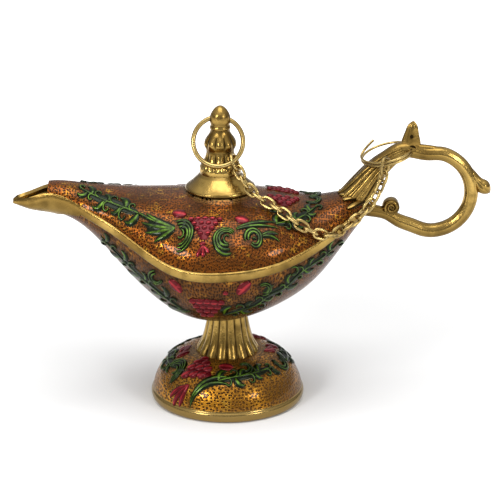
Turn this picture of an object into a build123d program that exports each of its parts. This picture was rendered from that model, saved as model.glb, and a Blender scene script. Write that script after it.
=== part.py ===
"""Genie oil lamp: a boat-shaped enamelled body on a fluted stem, with a lift-off lid on a chain.

Frame: +Z up, origin at the centre of the foot's underside, spout towards -X, handle towards +X.
Units are millimetres.
"""

from build123d import *

import os
from collections import namedtuple
from math import cos, pi, radians, sin

os.makedirs("parts", exist_ok=True)

# Foot
foot_radius = 20.7
foot_rim_height = 3.4
foot_rim_step = 0.5
foot_wall = 1.8
foot_dome_bulge = 2.85

# Stem
stem_base_z = 13.4
stem_base_radius = 8.3
stem_waist_radius = 6.1
stem_top_radius = 5.3
stem_flutes = 16
flute_depth = 0.7
reed_crown = 0.2

# Body: a station is one cross-section of the hull, two half ellipses that meet at the seam height
Station = namedtuple("Station", "x half_width seam bottom crest")
lip_tip = Station(-56.5, 0.9, 55.2, 54.6, 56.0)
lip_middle = Station(-52.0, 3.3, 55.7, 53.6, 59.2)
mouth = Station(-47.0, 4.4, 57.2, 52.8, 60.7)
spout = Station(-38.0, 6.8, 54.6, 48.9, 60.1)
throat = Station(-28.0, 12.0, 49.8, 38.4, 59.0)
shoulder = Station(-15.0, 20.2, 43.2, 26.8, 58.5)
belly = Station(0.0, 24.0, 42.3, 23.5, 58.4)
haunch = Station(14.0, 20.6, 44.0, 28.2, 57.3)
rump = Station(25.0, 13.2, 47.7, 36.2, 56.5)
tail = Station(32.0, 7.6, 51.4, 45.4, 57.6)
tail_end = Station(36.2, 3.2, 53.4, 51.0, 56.4)
body_wall = 1.6
lip_wall = 1.0

# Rim band: the bare brass frame between the bowl and the upper shell, which runs out into the lip
band_half_height = 1.4
band_proud = 0.5
bowl_front_x = -38.0

# Neck
neck_x = -1.7
neck_bore_radius = 7.4
neck_radius = 8.9
neck_flare_radius = 11.4
neck_flare_z = 55.4
neck_flare_arc = 3.5
neck_lip = 0.9
neck_top_z = 58.8

# Lid cap
lid_radius = 9.3
lid_edge = 0.8
lid_gap = 0.4
lid_seat_radius = 8.4
lid_shoulder_radius = 5.6
lid_shoulder_z = 62.9
lid_dome_steps = [(2.0, 0.5), (0.7, 1.4)]
plug_clearance = 0.2
plug_depth = 4.6
plug_wall = 1.2

# Finial
finial_spigot_radius = 1.6
finial_spigot_length = 2.2
finial_flange_radius = 5.4
finial_flange_height = 2.4
finial_waist_radius = 3.0
finial_waist_z = 69.0
finial_bulge_radius = 3.9
finial_bulge_z = 71.4
finial_neck_radius = 1.9
finial_neck_z = 75.0
finial_bevel = 0.5
finial_head_radius = 2.4
finial_head_z = 78.0
finial_tip_radius = 1.5
finial_top_z = 81.4

# Lid ring, which hangs in the finial's cross hole and leans on the flange
ring_radius = 6.5
ring_wire_radius = 0.7
ring_hole_radius = 1.45
ring_lift = 0.2
ring_shift = 0.5
ring_tilt = 24.5
ring_sides = 6

# Handle: centreline points of the two arms are (x, z, radius), the ring between them is an ellipse
handle_ring_x = 54.1
handle_ring_z = 57.8
handle_ring_half_width = 10.4
handle_ring_half_height = 10.7
handle_ring_from = -120
handle_ring_to = 100
handle_ring_steps = 11
handle_radius = 1.9
lower_arm = [(42.4, 52.2, 1.7), (45.4, 49.9, 1.9)]
upper_arm = [(46.4, 69.5, 2.2), (42.5, 67.2, 2.4), (38.5, 63.3, 2.8), (34.2, 57.0, 3.0), (31.5, 54.4, 2.5)]
handle_flatness = 1.05
handle_sides = 8
bud_stem = [(57.0, 68.2, 1.0), (61.5, 65.4, 1.3), (65.0, 61.9, 1.5), (67.0, 59.6, 2.0), (68.5, 58.4, 1.6),
            (69.3, 57.8, 0.5)]
scroll_x = 43.5
scroll_z = 53.9
scroll_radius = 2.5
scroll_half_length = 2.3
strut_radius = 2.1
strut_z = 53.6
leaf_x = 48.2
leaf_base_z = 69.0
leaf_tip_z = 77.1
leaf_half_width = 2.5
leaf_taper = [(0, 1), (0.45, 0.8), (0.85, 0.42), (1, 0.16)]
eye_x = 48.5
eye_z = 69.9
eye_radius = 1.4

# Split ring
split_radius = 6.7
split_wire_radius = 0.36
split_pitch = 0.85
split_tilt = 14.0
split_lean = 6.0
split_turns = 1.5
split_sides = 4
sprung_tip = (-2.5, 3.0, 3.4)

# Chain: the route of the links' pivots runs from the lid ring to the split ring
chain_route = [(1.7, -4.3, 68.7), (3.5, -6.2, 64.6), (5.2, -7.6, 61.9), (7.6, -8.8, 59.6),
               (11.0, -10.3, 57.8), (14.9, -12.9, 55.9), (18.0, -14.6, 54.0), (21.5, -15.1, 52.1),
               (24.9, -14.6, 50.6), (28.2, -13.0, 50.5), (31.7, -10.6, 52.0), (35.0, -8.6, 54.2),
               (38.2, -7.4, 57.8), (40.4, -6.9, 62.6), (41.3, -6.7, 68.4)]
chain_links = 22
chain_rest_normal = Vector(0.2, -0.6, 0.8)
link_wire = 0.72
link_width = 1.7
link_slack = 0.26
link_corner = 0.5
link_bevel = 0.28
link_roll = 45
end_link_pitch = 3.2
end_link_length = 3.9
end_link_width = 3.0
wire_sides = 8

# Cutting blocks reach past the body on every side
cut_margin = 5.0
cut_reach = 120.0


def hull(stations, walls):
    """Loft through the stations' cross-sections, each drawn in by its own wall thickness."""
    with BuildPart() as lofted:
        for station, wall in zip(stations, walls):
            with BuildSketch(Plane.YZ.offset(station.x)):
                with BuildLine():
                    centre = (0, station.seam)
                    width = station.half_width - wall
                    depth = station.seam - station.bottom - wall
                    height = station.crest - station.seam - wall
                    EllipticalCenterArc(centre, width, depth, 180, arc_size=180)
                    EllipticalCenterArc(centre, width, height, 0, arc_size=180)
                make_face()
        loft()
    return lofted.part


def below_curve(rise, reach_x):
    """Block of everything under the seam curve raised by a given height, from reach_x backwards."""
    points = [(s.x, s.seam + rise) for s in body_stations]
    front = body_stations[0].x
    back = body_stations[-1].x
    with BuildPart() as block:
        with BuildSketch(Plane.XZ):
            with BuildLine():
                edge = Spline(*points)
                Polyline(edge @ 1, (back + cut_margin, points[-1][1]), (back + cut_margin, 0),
                         (front - cut_margin, 0), (front - cut_margin, points[0][1]), edge @ 0)
            make_face()
        extrude(amount=cut_reach, both=True)
        if reach_x is not None:
            with BuildSketch(Plane.YZ.offset(reach_x)):
                Rectangle(cut_reach, cut_reach * 2)
            extrude(amount=-cut_reach, mode=Mode.SUBTRACT)
    return block.part


body_stations = [lip_tip, lip_middle, mouth, spout, throat, shoulder, belly, haunch, rump, tail, tail_end]
inner_tail = tail_end._replace(x=tail_end.x - body_wall)
inner_stations = body_stations[1:-1] + [inner_tail]
inner_walls = [lip_wall] * 3 + [body_wall] * (len(inner_stations) - 3)
body_outer = hull(body_stations, [0] * len(body_stations))
body_proud = hull(body_stations, [-band_proud] * len(body_stations))
body_inner = hull(inner_stations, inner_walls)
under_band_top = below_curve(band_half_height, None)
under_band = below_curve(-band_half_height, bowl_front_x)

# Foot: a hollow domed casting with a bare rim
with BuildPart() as foot:
    with BuildSketch(Plane.XZ):
        with BuildLine():
            rim_inner = (foot_radius - foot_rim_step, foot_rim_height)
            dome_top = (stem_base_radius + flute_depth, stem_base_z)
            hollow_low = (foot_radius - foot_rim_step - foot_wall, 0)
            hollow_high = (stem_base_radius, stem_base_z - foot_wall)
            Polyline((0, hollow_high[1]), (0, stem_base_z), dome_top)
            SagittaArc(dome_top, rim_inner, foot_dome_bulge)
            Polyline(rim_inner, (foot_radius, foot_rim_height), (foot_radius, 0), hollow_low)
            Polyline(hollow_low, hollow_high, (0, hollow_high[1]))
        make_face()
    revolve(axis=Axis.Z)
foot.part.label = "foot"
export_step(foot.part, "parts/foot.step")


def reeded_ring(radius):
    """Closed outline of reeds round a circle: each reed has a flat crown between two sloping sides."""
    outline = []
    for reed in range(stem_flutes):
        for step, depth in ((-1 / 2, flute_depth), (-reed_crown, 0), (reed_crown, 0)):
            angle = (reed + step) * 2 * pi / stem_flutes
            outline.append(((radius - depth) * cos(angle), (radius - depth) * sin(angle)))
    return outline


# Stem: a reeded column lofted through three rings and cut to the bowl's underside
stem_height = belly.bottom - stem_base_z
stem_rings = [(stem_base_radius, stem_base_z), (stem_waist_radius, stem_base_z + stem_height / 2),
              (stem_top_radius, belly.bottom + body_wall)]
with BuildPart() as stem:
    for radius, z in stem_rings:
        with BuildSketch(Plane.XY.offset(z)):
            with BuildLine():
                Polyline(*reeded_ring(radius), close=True)
            make_face()
    loft(ruled=True)
    add(body_outer, mode=Mode.SUBTRACT)
stem.part.label = "stem"
export_step(stem.part, "parts/stem.step")

# Bowl: lower half of the body
with BuildPart() as bowl:
    add(body_outer)
    add(under_band, mode=Mode.INTERSECT)
    add(body_inner, mode=Mode.SUBTRACT)
bowl.part.label = "bowl"
export_step(bowl.part, "parts/bowl.step")

# Rim band with the spout lip
with BuildPart() as rim_band:
    add(body_proud)
    add(under_band_top, mode=Mode.INTERSECT)
    add(under_band, mode=Mode.SUBTRACT)
    add(body_inner, mode=Mode.SUBTRACT)
rim_band.part.label = "rim_band"
export_step(rim_band.part, "parts/rim_band.step")

# Upper shell with the neck collar
neck_axis = Axis((neck_x, 0, 0), (0, 0, 1))
neck_plane = Plane((neck_x, 0, 0), x_dir=(1, 0, 0), z_dir=(0, -1, 0))
with BuildPart() as upper_shell:
    add(body_outer)
    with BuildSketch(neck_plane):
        with BuildLine():
            flare = (neck_flare_radius, neck_flare_z)
            lip_low = (neck_radius, neck_top_z - neck_lip)
            RadiusArc(flare, lip_low, neck_flare_arc)
            collar_low = neck_flare_z - body_wall
            Polyline(lip_low, (neck_radius, neck_top_z), (neck_bore_radius, neck_top_z),
                     (neck_bore_radius, collar_low), (neck_flare_radius, collar_low), flare)
        make_face()
    revolve(axis=neck_axis)
    with Locations((neck_x, 0, neck_top_z)):
        Cylinder(neck_bore_radius, neck_top_z - belly.seam, mode=Mode.SUBTRACT)
    add(under_band_top, mode=Mode.SUBTRACT)
    add(body_inner, mode=Mode.SUBTRACT)
    with BuildSketch(Plane.YZ.offset(mouth.x)):
        Rectangle(cut_reach, cut_reach * 2)
    extrude(amount=-cut_reach, mode=Mode.SUBTRACT)
upper_shell.part.label = "upper_shell"
export_step(upper_shell.part, "parts/upper_shell.step")

# Lid cap: a hollow dome with a plug that drops into the neck
plug_radius = neck_bore_radius - plug_clearance
plug_low = neck_top_z - plug_depth
under_z = lid_shoulder_z - body_wall
with BuildPart() as lid_cap:
    with BuildSketch(Plane.XZ):
        with BuildLine():
            edge_top = (lid_radius, neck_top_z + lid_gap + lid_edge)
            dome_top = (lid_shoulder_radius, lid_shoulder_z)
            dome_breaks = [(lid_radius - drop, lid_shoulder_z - fall) for drop, fall in lid_dome_steps]
            Polyline((finial_spigot_radius, under_z), (finial_spigot_radius, lid_shoulder_z), dome_top)
            Polyline(dome_top, *dome_breaks, edge_top, (lid_radius, neck_top_z + lid_gap),
                     (lid_seat_radius, neck_top_z), (plug_radius, neck_top_z), (plug_radius, plug_low),
                     (plug_radius - plug_wall, plug_low), (plug_radius - plug_wall, under_z),
                     (finial_spigot_radius, under_z))
        make_face()
    revolve(axis=Axis.Z)
lid_place = Pos(neck_x, 0, 0)
lid_cap.part = lid_place * lid_cap.part
lid_cap.part.label = "lid_cap"
export_step(lid_cap.part, "parts/lid_cap.step")

# Finial: a turned knob, peened into the cap and cross-drilled for the ring
spigot_z = lid_shoulder_z - finial_spigot_length
flange_top = lid_shoulder_z + finial_flange_height
head_half = ring_hole_radius + finial_bevel
finial_profile = [
    (0, spigot_z), (finial_spigot_radius, spigot_z), (finial_spigot_radius, lid_shoulder_z),
    (finial_flange_radius, lid_shoulder_z), (finial_flange_radius, flange_top - finial_bevel),
    (finial_flange_radius - finial_bevel, flange_top), (finial_waist_radius, finial_waist_z),
    (finial_bulge_radius, finial_bulge_z - finial_bevel),
    (finial_bulge_radius, finial_bulge_z + finial_bevel),
    (finial_neck_radius, finial_neck_z), (finial_head_radius, finial_head_z - head_half),
    (finial_head_radius, finial_head_z + head_half), (finial_tip_radius, finial_top_z), (0, finial_top_z),
]
with BuildPart() as lid_finial:
    with BuildSketch(Plane.XZ):
        with BuildLine():
            Polyline(*finial_profile, close=True)
        make_face()
    revolve(axis=Axis.Z)
    with Locations(Location((0, 0, finial_head_z), (0, 90, 0))):
        Cylinder(ring_hole_radius, cut_reach, mode=Mode.SUBTRACT)
lid_finial.part = lid_place * lid_finial.part
lid_finial.part.label = "lid_finial"
export_step(lid_finial.part, "parts/lid_finial.step")

# Lid ring: eight-sided wire turned about the ring's own axis
tilt = radians(ring_tilt)
ring_top_z = finial_head_z + ring_lift
ring_centre = Vector(neck_x - ring_shift, -ring_radius * sin(tilt), ring_top_z - ring_radius * cos(tilt))
ring_plane = Plane(ring_centre, x_dir=(1, 0, 0), z_dir=(0, -cos(tilt), sin(tilt)))
with BuildPart() as lid_ring:
    with BuildSketch(Plane(ring_centre, x_dir=(1, 0, 0), z_dir=ring_plane.y_dir)):
        with Locations((ring_radius, 0)):
            RegularPolygon(ring_wire_radius, ring_sides)
    revolve(axis=Axis(ring_centre, ring_plane.z_dir))
lid_ring.part.label = "lid_ring"
export_step(lid_ring.part, "parts/lid_ring.step")


def strand(points, sides, flatness):
    """Loft of many-sided sections along a centreline in the XZ plane; each point is (x, z, radius)."""
    with BuildPart() as lofted:
        for place, (x, z, radius) in enumerate(points):
            before = points[max(place - 1, 0)]
            after = points[min(place + 1, len(points) - 1)]
            along = (after[0] - before[0], 0, after[1] - before[1])
            with BuildSketch(Plane((x, 0, z), x_dir=(0, 1, 0), z_dir=along)):
                RegularPolygon(radius * flatness, sides)
        loft()
    return lofted.part


# Handle: carved strands for ring and bud, with scroll, strut and thumb leaf joined to them
ring_step = (handle_ring_to - handle_ring_from) / (handle_ring_steps - 1)
ring_angles = [radians(handle_ring_from + ring_step * step) for step in range(handle_ring_steps)]
handle_ring_points = [(handle_ring_x + handle_ring_half_width * cos(angle),
                       handle_ring_z + handle_ring_half_height * sin(angle), handle_radius)
                      for angle in ring_angles]
handle_strand = strand(lower_arm + handle_ring_points + upper_arm, handle_sides, handle_flatness)
bud_strand = strand(bud_stem, wire_sides, 1)
leaf_height = leaf_tip_z - leaf_base_z
strut_length = scroll_x - tail_end.x + body_wall
with BuildPart() as handle:
    add(handle_strand)
    add(bud_strand)
    with Locations(Location((scroll_x, 0, scroll_z), (90, 0, 0))):
        Cylinder(scroll_radius, scroll_half_length * 2)
    with Locations(Location((scroll_x - strut_length / 2, 0, strut_z), (0, 90, 0))):
        Cylinder(strut_radius, strut_length)
    for rise, share in leaf_taper:
        with BuildSketch(Plane.XY.offset(leaf_base_z + rise * leaf_height)):
            with Locations((leaf_x, 0)):
                RegularPolygon(leaf_half_width * share, wire_sides)
    loft()
    with Locations(Location((eye_x, 0, eye_z), (90, 0, 0))):
        Cylinder(eye_radius, cut_reach, mode=Mode.SUBTRACT)
    add(body_outer, mode=Mode.SUBTRACT)
    add(rim_band.part, mode=Mode.SUBTRACT)
handle.part.label = "handle"
export_step(handle.part, "parts/handle.step")

# Split ring through the handle's eye: one and a half turns of wire, with the upper end sprung open
split_angle = radians(split_tilt)
split_centre = Vector(eye_x - split_radius * cos(split_angle), 0, eye_z - split_radius * sin(split_angle))
split_plane = Plane(split_centre, x_dir=(cos(split_angle), 0, sin(split_angle)),
                    z_dir=(-sin(split_angle), -sin(radians(split_lean)), cos(split_angle)))
split_rise = split_pitch * split_turns
with BuildLine() as split_turn:
    turns = Helix(split_pitch, split_rise, split_radius, center=(0, 0, -split_rise / 2), lefthand=True)
with BuildLine() as split_spring:
    sprung = TangentArc(turns @ 1, sprung_tip, tangent=turns % 1)
with BuildPart() as split_wire:
    for path in (turns, sprung):
        with BuildSketch(Plane(path @ 0, x_dir=(0, 0, 1), z_dir=path % 0)):
            RegularPolygon(split_wire_radius, split_sides)
        sweep(path=path)
with BuildPart() as handle_ring:
    with Locations(split_plane):
        add(split_wire.part)
handle_ring.part.label = "handle_ring"
export_step(handle_ring.part, "parts/handle_ring.step")


def link_body(inner_length, inner_width):
    """One chain link along X: an eight-cornered loop of wire with bevelled edges."""
    with BuildPart() as link:
        with BuildSketch():
            for grow, mode in ((link_wire, Mode.ADD), (0, Mode.SUBTRACT)):
                length = inner_length / 2 + grow
                width = inner_width / 2 + grow
                corner = width * link_corner
                Polygon((length, width - corner), (length - corner, width), (corner - length, width),
                        (-length, width - corner), (-length, corner - width), (corner - length, -width),
                        (length - corner, -width), (length, corner - width), align=None, mode=mode)
        extrude(amount=link_wire / 2, both=True)
        rims = link.faces().filter_by(Axis.Z)
        chamfer([edge for rim in rims for edge in rim.outer_wire().edges()], link_wire * link_bevel)
    return link.part


# Chain: the links hang on one route, each between two neighbouring pivots and rolled against the last
route_edge = Spline(*chain_route)
link_pitch = (route_edge.length - 2 * end_link_pitch) / (chain_links - 2)
middle_places = [end_link_pitch + link_pitch * step for step in range(chain_links - 1)]
link_places = [0] + middle_places + [route_edge.length]
chain_pivots = [route_edge.position_at(place / route_edge.length) for place in link_places]
end_link = link_body(end_link_length, end_link_width)
plain_link = link_body(link_pitch + link_slack, link_width)
for number in range(1, chain_links + 1):
    front, back = chain_pivots[number - 1], chain_pivots[number]
    along = (back - front).normalized()
    outward = chain_rest_normal - along * along.dot(chain_rest_normal)
    roll = link_roll - 90 if number % 2 else link_roll
    link_plane = Plane((front + back) / 2, x_dir=along, z_dir=outward.rotate(Axis((0, 0, 0), along), roll))
    with BuildPart() as chain_link:
        with Locations(link_plane):
            add(end_link if number in (1, chain_links) else plain_link)
    chain_link.part.label = f"chain_link_{number:02d}"
    export_step(chain_link.part, f"parts/chain_link_{number:02d}.step")
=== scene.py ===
"""Looks of the genie oil lamp: smooth enamelled body, chased brass fittings and a fine link chain.

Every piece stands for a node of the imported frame, or lies on one as ornament, and rides on its
body. Lengths are written in millimetres in the row frame and become metres when a mesh is made.
"""

import logging
import math
from dataclasses import dataclass, field
from enum import Enum
from typing import Callable, Sequence

import bmesh
import bpy
import numpy as np
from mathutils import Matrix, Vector


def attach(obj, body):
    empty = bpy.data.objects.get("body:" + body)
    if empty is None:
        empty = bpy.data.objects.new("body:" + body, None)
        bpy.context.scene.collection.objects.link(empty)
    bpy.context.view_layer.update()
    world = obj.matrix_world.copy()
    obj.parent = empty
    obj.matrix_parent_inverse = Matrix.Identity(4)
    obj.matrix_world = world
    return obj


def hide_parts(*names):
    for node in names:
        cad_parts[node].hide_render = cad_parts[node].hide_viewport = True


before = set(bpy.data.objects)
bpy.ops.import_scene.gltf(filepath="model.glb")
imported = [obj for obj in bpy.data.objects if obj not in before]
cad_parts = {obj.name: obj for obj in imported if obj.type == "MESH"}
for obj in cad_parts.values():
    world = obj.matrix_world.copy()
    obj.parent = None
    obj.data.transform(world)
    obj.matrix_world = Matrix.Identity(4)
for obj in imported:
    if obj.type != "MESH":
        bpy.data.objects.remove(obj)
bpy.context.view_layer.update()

LOG = logging.getLogger("lamp")
MM = 0.001
SHARP_ANGLE = math.radians(50)
POLE_RADIUS = 0.02
WIRE_SIDES = 12
COAT_ROUGHNESS = 0.06
ENAMEL_SPECULAR = 0.1
WHITE = (1.0, 1.0, 1.0, 1.0)
SIDES = (-1.0, 1.0)
LENGTHWISE = np.array([1.0, 0, 0])
CROSSWISE = np.array([0, 1.0, 0])
UPWARDS = np.array([0, 0, 1.0])

Array = np.ndarray
Curve = Callable[[Array], Array]
Pair = tuple[float, float]
Station = tuple[float, float, float]
Colour = tuple[float, float, float, float]


class Mark(Enum):
    """Named values on the vertices that the finishes read."""

    # How dark a place is with patina and with painted shade in hollows, creases and gaps.
    RECESS = "recess"
    BARE = "bare"
    RELIEF = "relief"
    FLAT_U = "flat_u"
    FLAT_V = "flat_v"
    # Pooled enamel and painted shade round the raised strokes.
    POOLED_SHADE = "pool"


class Body(Enum):
    """Bodies of the frame that pieces ride on."""

    LAMP = "lamp"
    LID = "lid"
    LID_RING = "lid ring"
    SPLIT_RING = "split ring"


class Slot(Enum):
    """Material slots of the record."""

    ENAMEL = "enamel"
    BRASS = "brass"
    WIRE = "brass_wire"


def natural_spline(knots: Sequence[float], values: Sequence[float]) -> Curve:
    """Natural cubic spline through values at rising knots.

    Args:
        knots: rising places, one per value.
        values: heights at the knots.

    Returns:
        A function that gives the spline's height at any array of places.
    """
    knot = np.asarray(knots, float)
    value = np.asarray(values, float)
    gap = np.diff(knot)
    slope = np.diff(value) / gap
    inner = np.arange(1, len(knot) - 1)
    system = np.eye(len(knot))
    system[inner, inner - 1] = gap[:-1]
    system[inner, inner] = 2 * (gap[:-1] + gap[1:])
    system[inner, inner + 1] = gap[1:]
    right = np.zeros(len(knot))
    right[1:-1] = 6 * np.diff(slope)
    bend = np.linalg.solve(system, right)

    def curve(place: Array) -> Array:
        """Height of the spline: value + slope t + bend t^2 / 2 + jerk t^3 / 6 on each span.

        Args:
            place: places along the knots.

        Returns:
            The heights.
        """
        span = np.clip(np.searchsorted(knot, place) - 1, 0, len(gap) - 1)
        step = place - knot[span]
        lead = slope[span] - gap[span] * (2 * bend[span] + bend[span + 1]) / 6
        jerk = (bend[span + 1] - bend[span]) / gap[span]
        return value[span] + step * (lead + step * (bend[span] / 2 + step * jerk / 6))

    return curve


def smooth_path(points: Sequence[Sequence[float]], count: int) -> Array:
    """Even samples on a spline through points, measured along their chords.

    Args:
        points: points with any number of columns.
        count: number of samples.

    Returns:
        Array of shape (count, columns).
    """
    given = np.asarray(points, float)
    step = np.linalg.norm(np.diff(given[:, :2], axis=0), axis=1)
    along = np.concatenate([[0.0], np.cumsum(step)])
    places = np.linspace(0, along[-1], count)
    return np.stack([natural_spline(along, column)(places) for column in given.T], -1)


def unit(vectors: Array) -> Array:
    """Vectors scaled to length one."""
    return vectors / np.linalg.norm(vectors, axis=-1, keepdims=True)


def bow_through(first: Array, bent: Array, last: Array, count: int) -> Array:
    """Bowed line (1 - s)^2 A + 2 s (1 - s) B + s^2 C.

    Args:
        first: start A.
        bent: place B that the line is pulled to.
        last: end C.
        count: number of samples.

    Returns:
        Points along the line.
    """
    share = np.linspace(0, 1, count)[:, None]
    return (1 - share) ** 2 * first + 2 * share * (1 - share) * bent + share ** 2 * last


def side_by_side(count: int, spacing: float) -> Array:
    """Evenly spaced offsets about their middle."""
    return (np.arange(count) - (count - 1) / 2) * spacing


def full_turn(count: int) -> Array:
    """Even angles once round, without the one that repeats the first."""
    return np.linspace(0, 2 * np.pi, count, endpoint=False)


def left_of(along: Array) -> Array:
    """Direction in the plane a quarter turn to the left of another."""
    return np.array([-along[1], along[0]])


def smooth_step(low: float, high: float, value: Array) -> Array:
    """Rises from 0 at low to 1 at high as 3t^2 - 2t^3."""
    share = np.clip((value - low) / (high - low), 0, 1)
    return share * share * (3 - 2 * share)


def bell(value: Array, middle: float, spread: float, power: int = 2) -> Array:
    """Bump of height 1 round a middle: exp(-((v - middle) / spread)^power)."""
    return np.exp(-((value - middle) / spread) ** power)


@dataclass
class Skin:
    """Rings of points that are joined into one closed skin.

    Attributes:
        rings: points in millimetres, shape (rings, points, 3); each ring closes on itself.
        closed: whether the last ring joins the first; otherwise both ends are capped.
        marks: named values per point, shape (rings, points).
    """

    rings: Array
    closed: bool = False
    marks: dict[Mark, Array] = field(default_factory=dict)

    def faces(self, start: int) -> list[list[int]]:
        """Faces between neighbouring rings, and the caps of an open run.

        Args:
            start: index of the skin's first vertex in the mesh.

        Returns:
            Lists of vertex indices.
        """
        count, size = self.rings.shape[:2]
        spans = count if self.closed else count - 1
        row, column = np.meshgrid(np.arange(spans), np.arange(size), indexing="ij")
        after, beside = (row + 1) % count, (column + 1) % size
        corners = [row * size + column, after * size + column,
                   after * size + beside, row * size + beside]
        quads = (np.stack(corners, -1).reshape(-1, 4) + start).tolist()
        if self.closed:
            return quads
        first = np.arange(size) + start
        return quads + [first.tolist(), (first + (count - 1) * size).tolist()]

    def mark(self, name: Mark) -> Array:
        """Values of one mark for all points, zero where none is given."""
        return np.broadcast_to(self.marks.get(name, 0.0), self.rings.shape[:2]).ravel()


def revolve(profile: Array, sides: int, centre_x: float = 0.0,
            lobes: Array | None = None) -> Skin:
    """Skin turned about a vertical axis: (x, y) = centre + r (cos a, sin a), z = profile height.

    Args:
        profile: radius and height pairs from end to end.
        sides: points round each ring.
        centre_x: place of the axis on X.
        lobes: factors on the radius, shape (profile points, sides).

    Returns:
        The skin, capped at both ends.
    """
    angle = full_turn(sides) + np.pi / 2
    radius = profile[:, :1] * (np.ones((1, sides)) if lobes is None else lobes)
    height = np.broadcast_to(profile[:, 1:2], radius.shape)
    x, y = centre_x + radius * np.cos(angle), radius * np.sin(angle)
    return Skin(np.stack([x, y, height], -1))


def sweep(path: Array, reference: Array, width: Array | float, height: Array | float, sides: int,
          closed: bool = False, shape: Array | None = None) -> Skin:
    """Tube along a path: P + S w cos(a) + U h sin(a), with S = T x reference and U = S x T.

    Args:
        path: points of the centre line.
        reference: direction, or one per point, that the tube's height follows.
        width: half width across the reference, per point.
        height: half height along the reference, per point.
        sides: points round each ring.
        closed: whether the path closes on itself.
        shape: factors on both half sizes, shape (points, sides).

    Returns:
        The tube's skin.
    """
    if closed:
        tangent = unit(np.roll(path, -1, 0) - np.roll(path, 1, 0))
    else:
        tangent = unit(np.gradient(path, axis=0))
    side = unit(np.cross(tangent, np.broadcast_to(reference, path.shape)))
    rise = np.cross(side, tangent)
    angle = full_turn(sides)
    factor = np.ones((len(path), sides)) if shape is None else shape
    across = np.broadcast_to(width, len(path))[:, None] * np.cos(angle) * factor
    up = np.broadcast_to(height, len(path))[:, None] * np.sin(angle) * factor
    section = side[:, None] * across[..., None] + rise[:, None] * up[..., None]
    return Skin(path[:, None] + section, closed)


def make_piece(name: str, skins: Sequence[Skin], finish: bpy.types.Material, body: Body | str,
               stands_for: Sequence[str] = ()) -> None:
    """Joins skins into one smooth mesh piece and ties it to the frame.

    Args:
        name: name of the piece.
        skins: closed skins, in millimetres.
        finish: material of the piece.
        body: body that it rides on.
        stands_for: nodes of the frame that it replaces.
    """
    faces: list[list[int]] = []
    start = 0
    for skin in skins:
        faces += skin.faces(start)
        start += skin.rings.shape[0] * skin.rings.shape[1]
    points = np.concatenate([skin.rings.reshape(-1, 3) for skin in skins]) * MM
    mesh = bpy.data.meshes.new(name)
    mesh.from_pydata(points.tolist(), [], faces)
    work = bmesh.new()
    work.from_mesh(mesh)
    bmesh.ops.recalc_face_normals(work, faces=work.faces[:])
    work.to_mesh(mesh)
    work.free()
    mesh.shade_smooth()
    mesh.set_sharp_from_angle(angle=SHARP_ANGLE)
    for mark in Mark:
        values = np.concatenate([skin.mark(mark) for skin in skins])
        layer = mesh.attributes.new(mark.value, "FLOAT", "POINT")
        layer.data.foreach_set("value", values.astype(np.float32))
    mesh.materials.append(finish)
    piece = bpy.data.objects.new(name, mesh)
    bpy.context.scene.collection.objects.link(piece)
    carrier = body.value if isinstance(body, Body) else body
    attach(piece, carrier)
    if stands_for:
        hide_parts(*stands_for)
    LOG.info("%s: %d vertices on %s", name, len(points), carrier)


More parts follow.
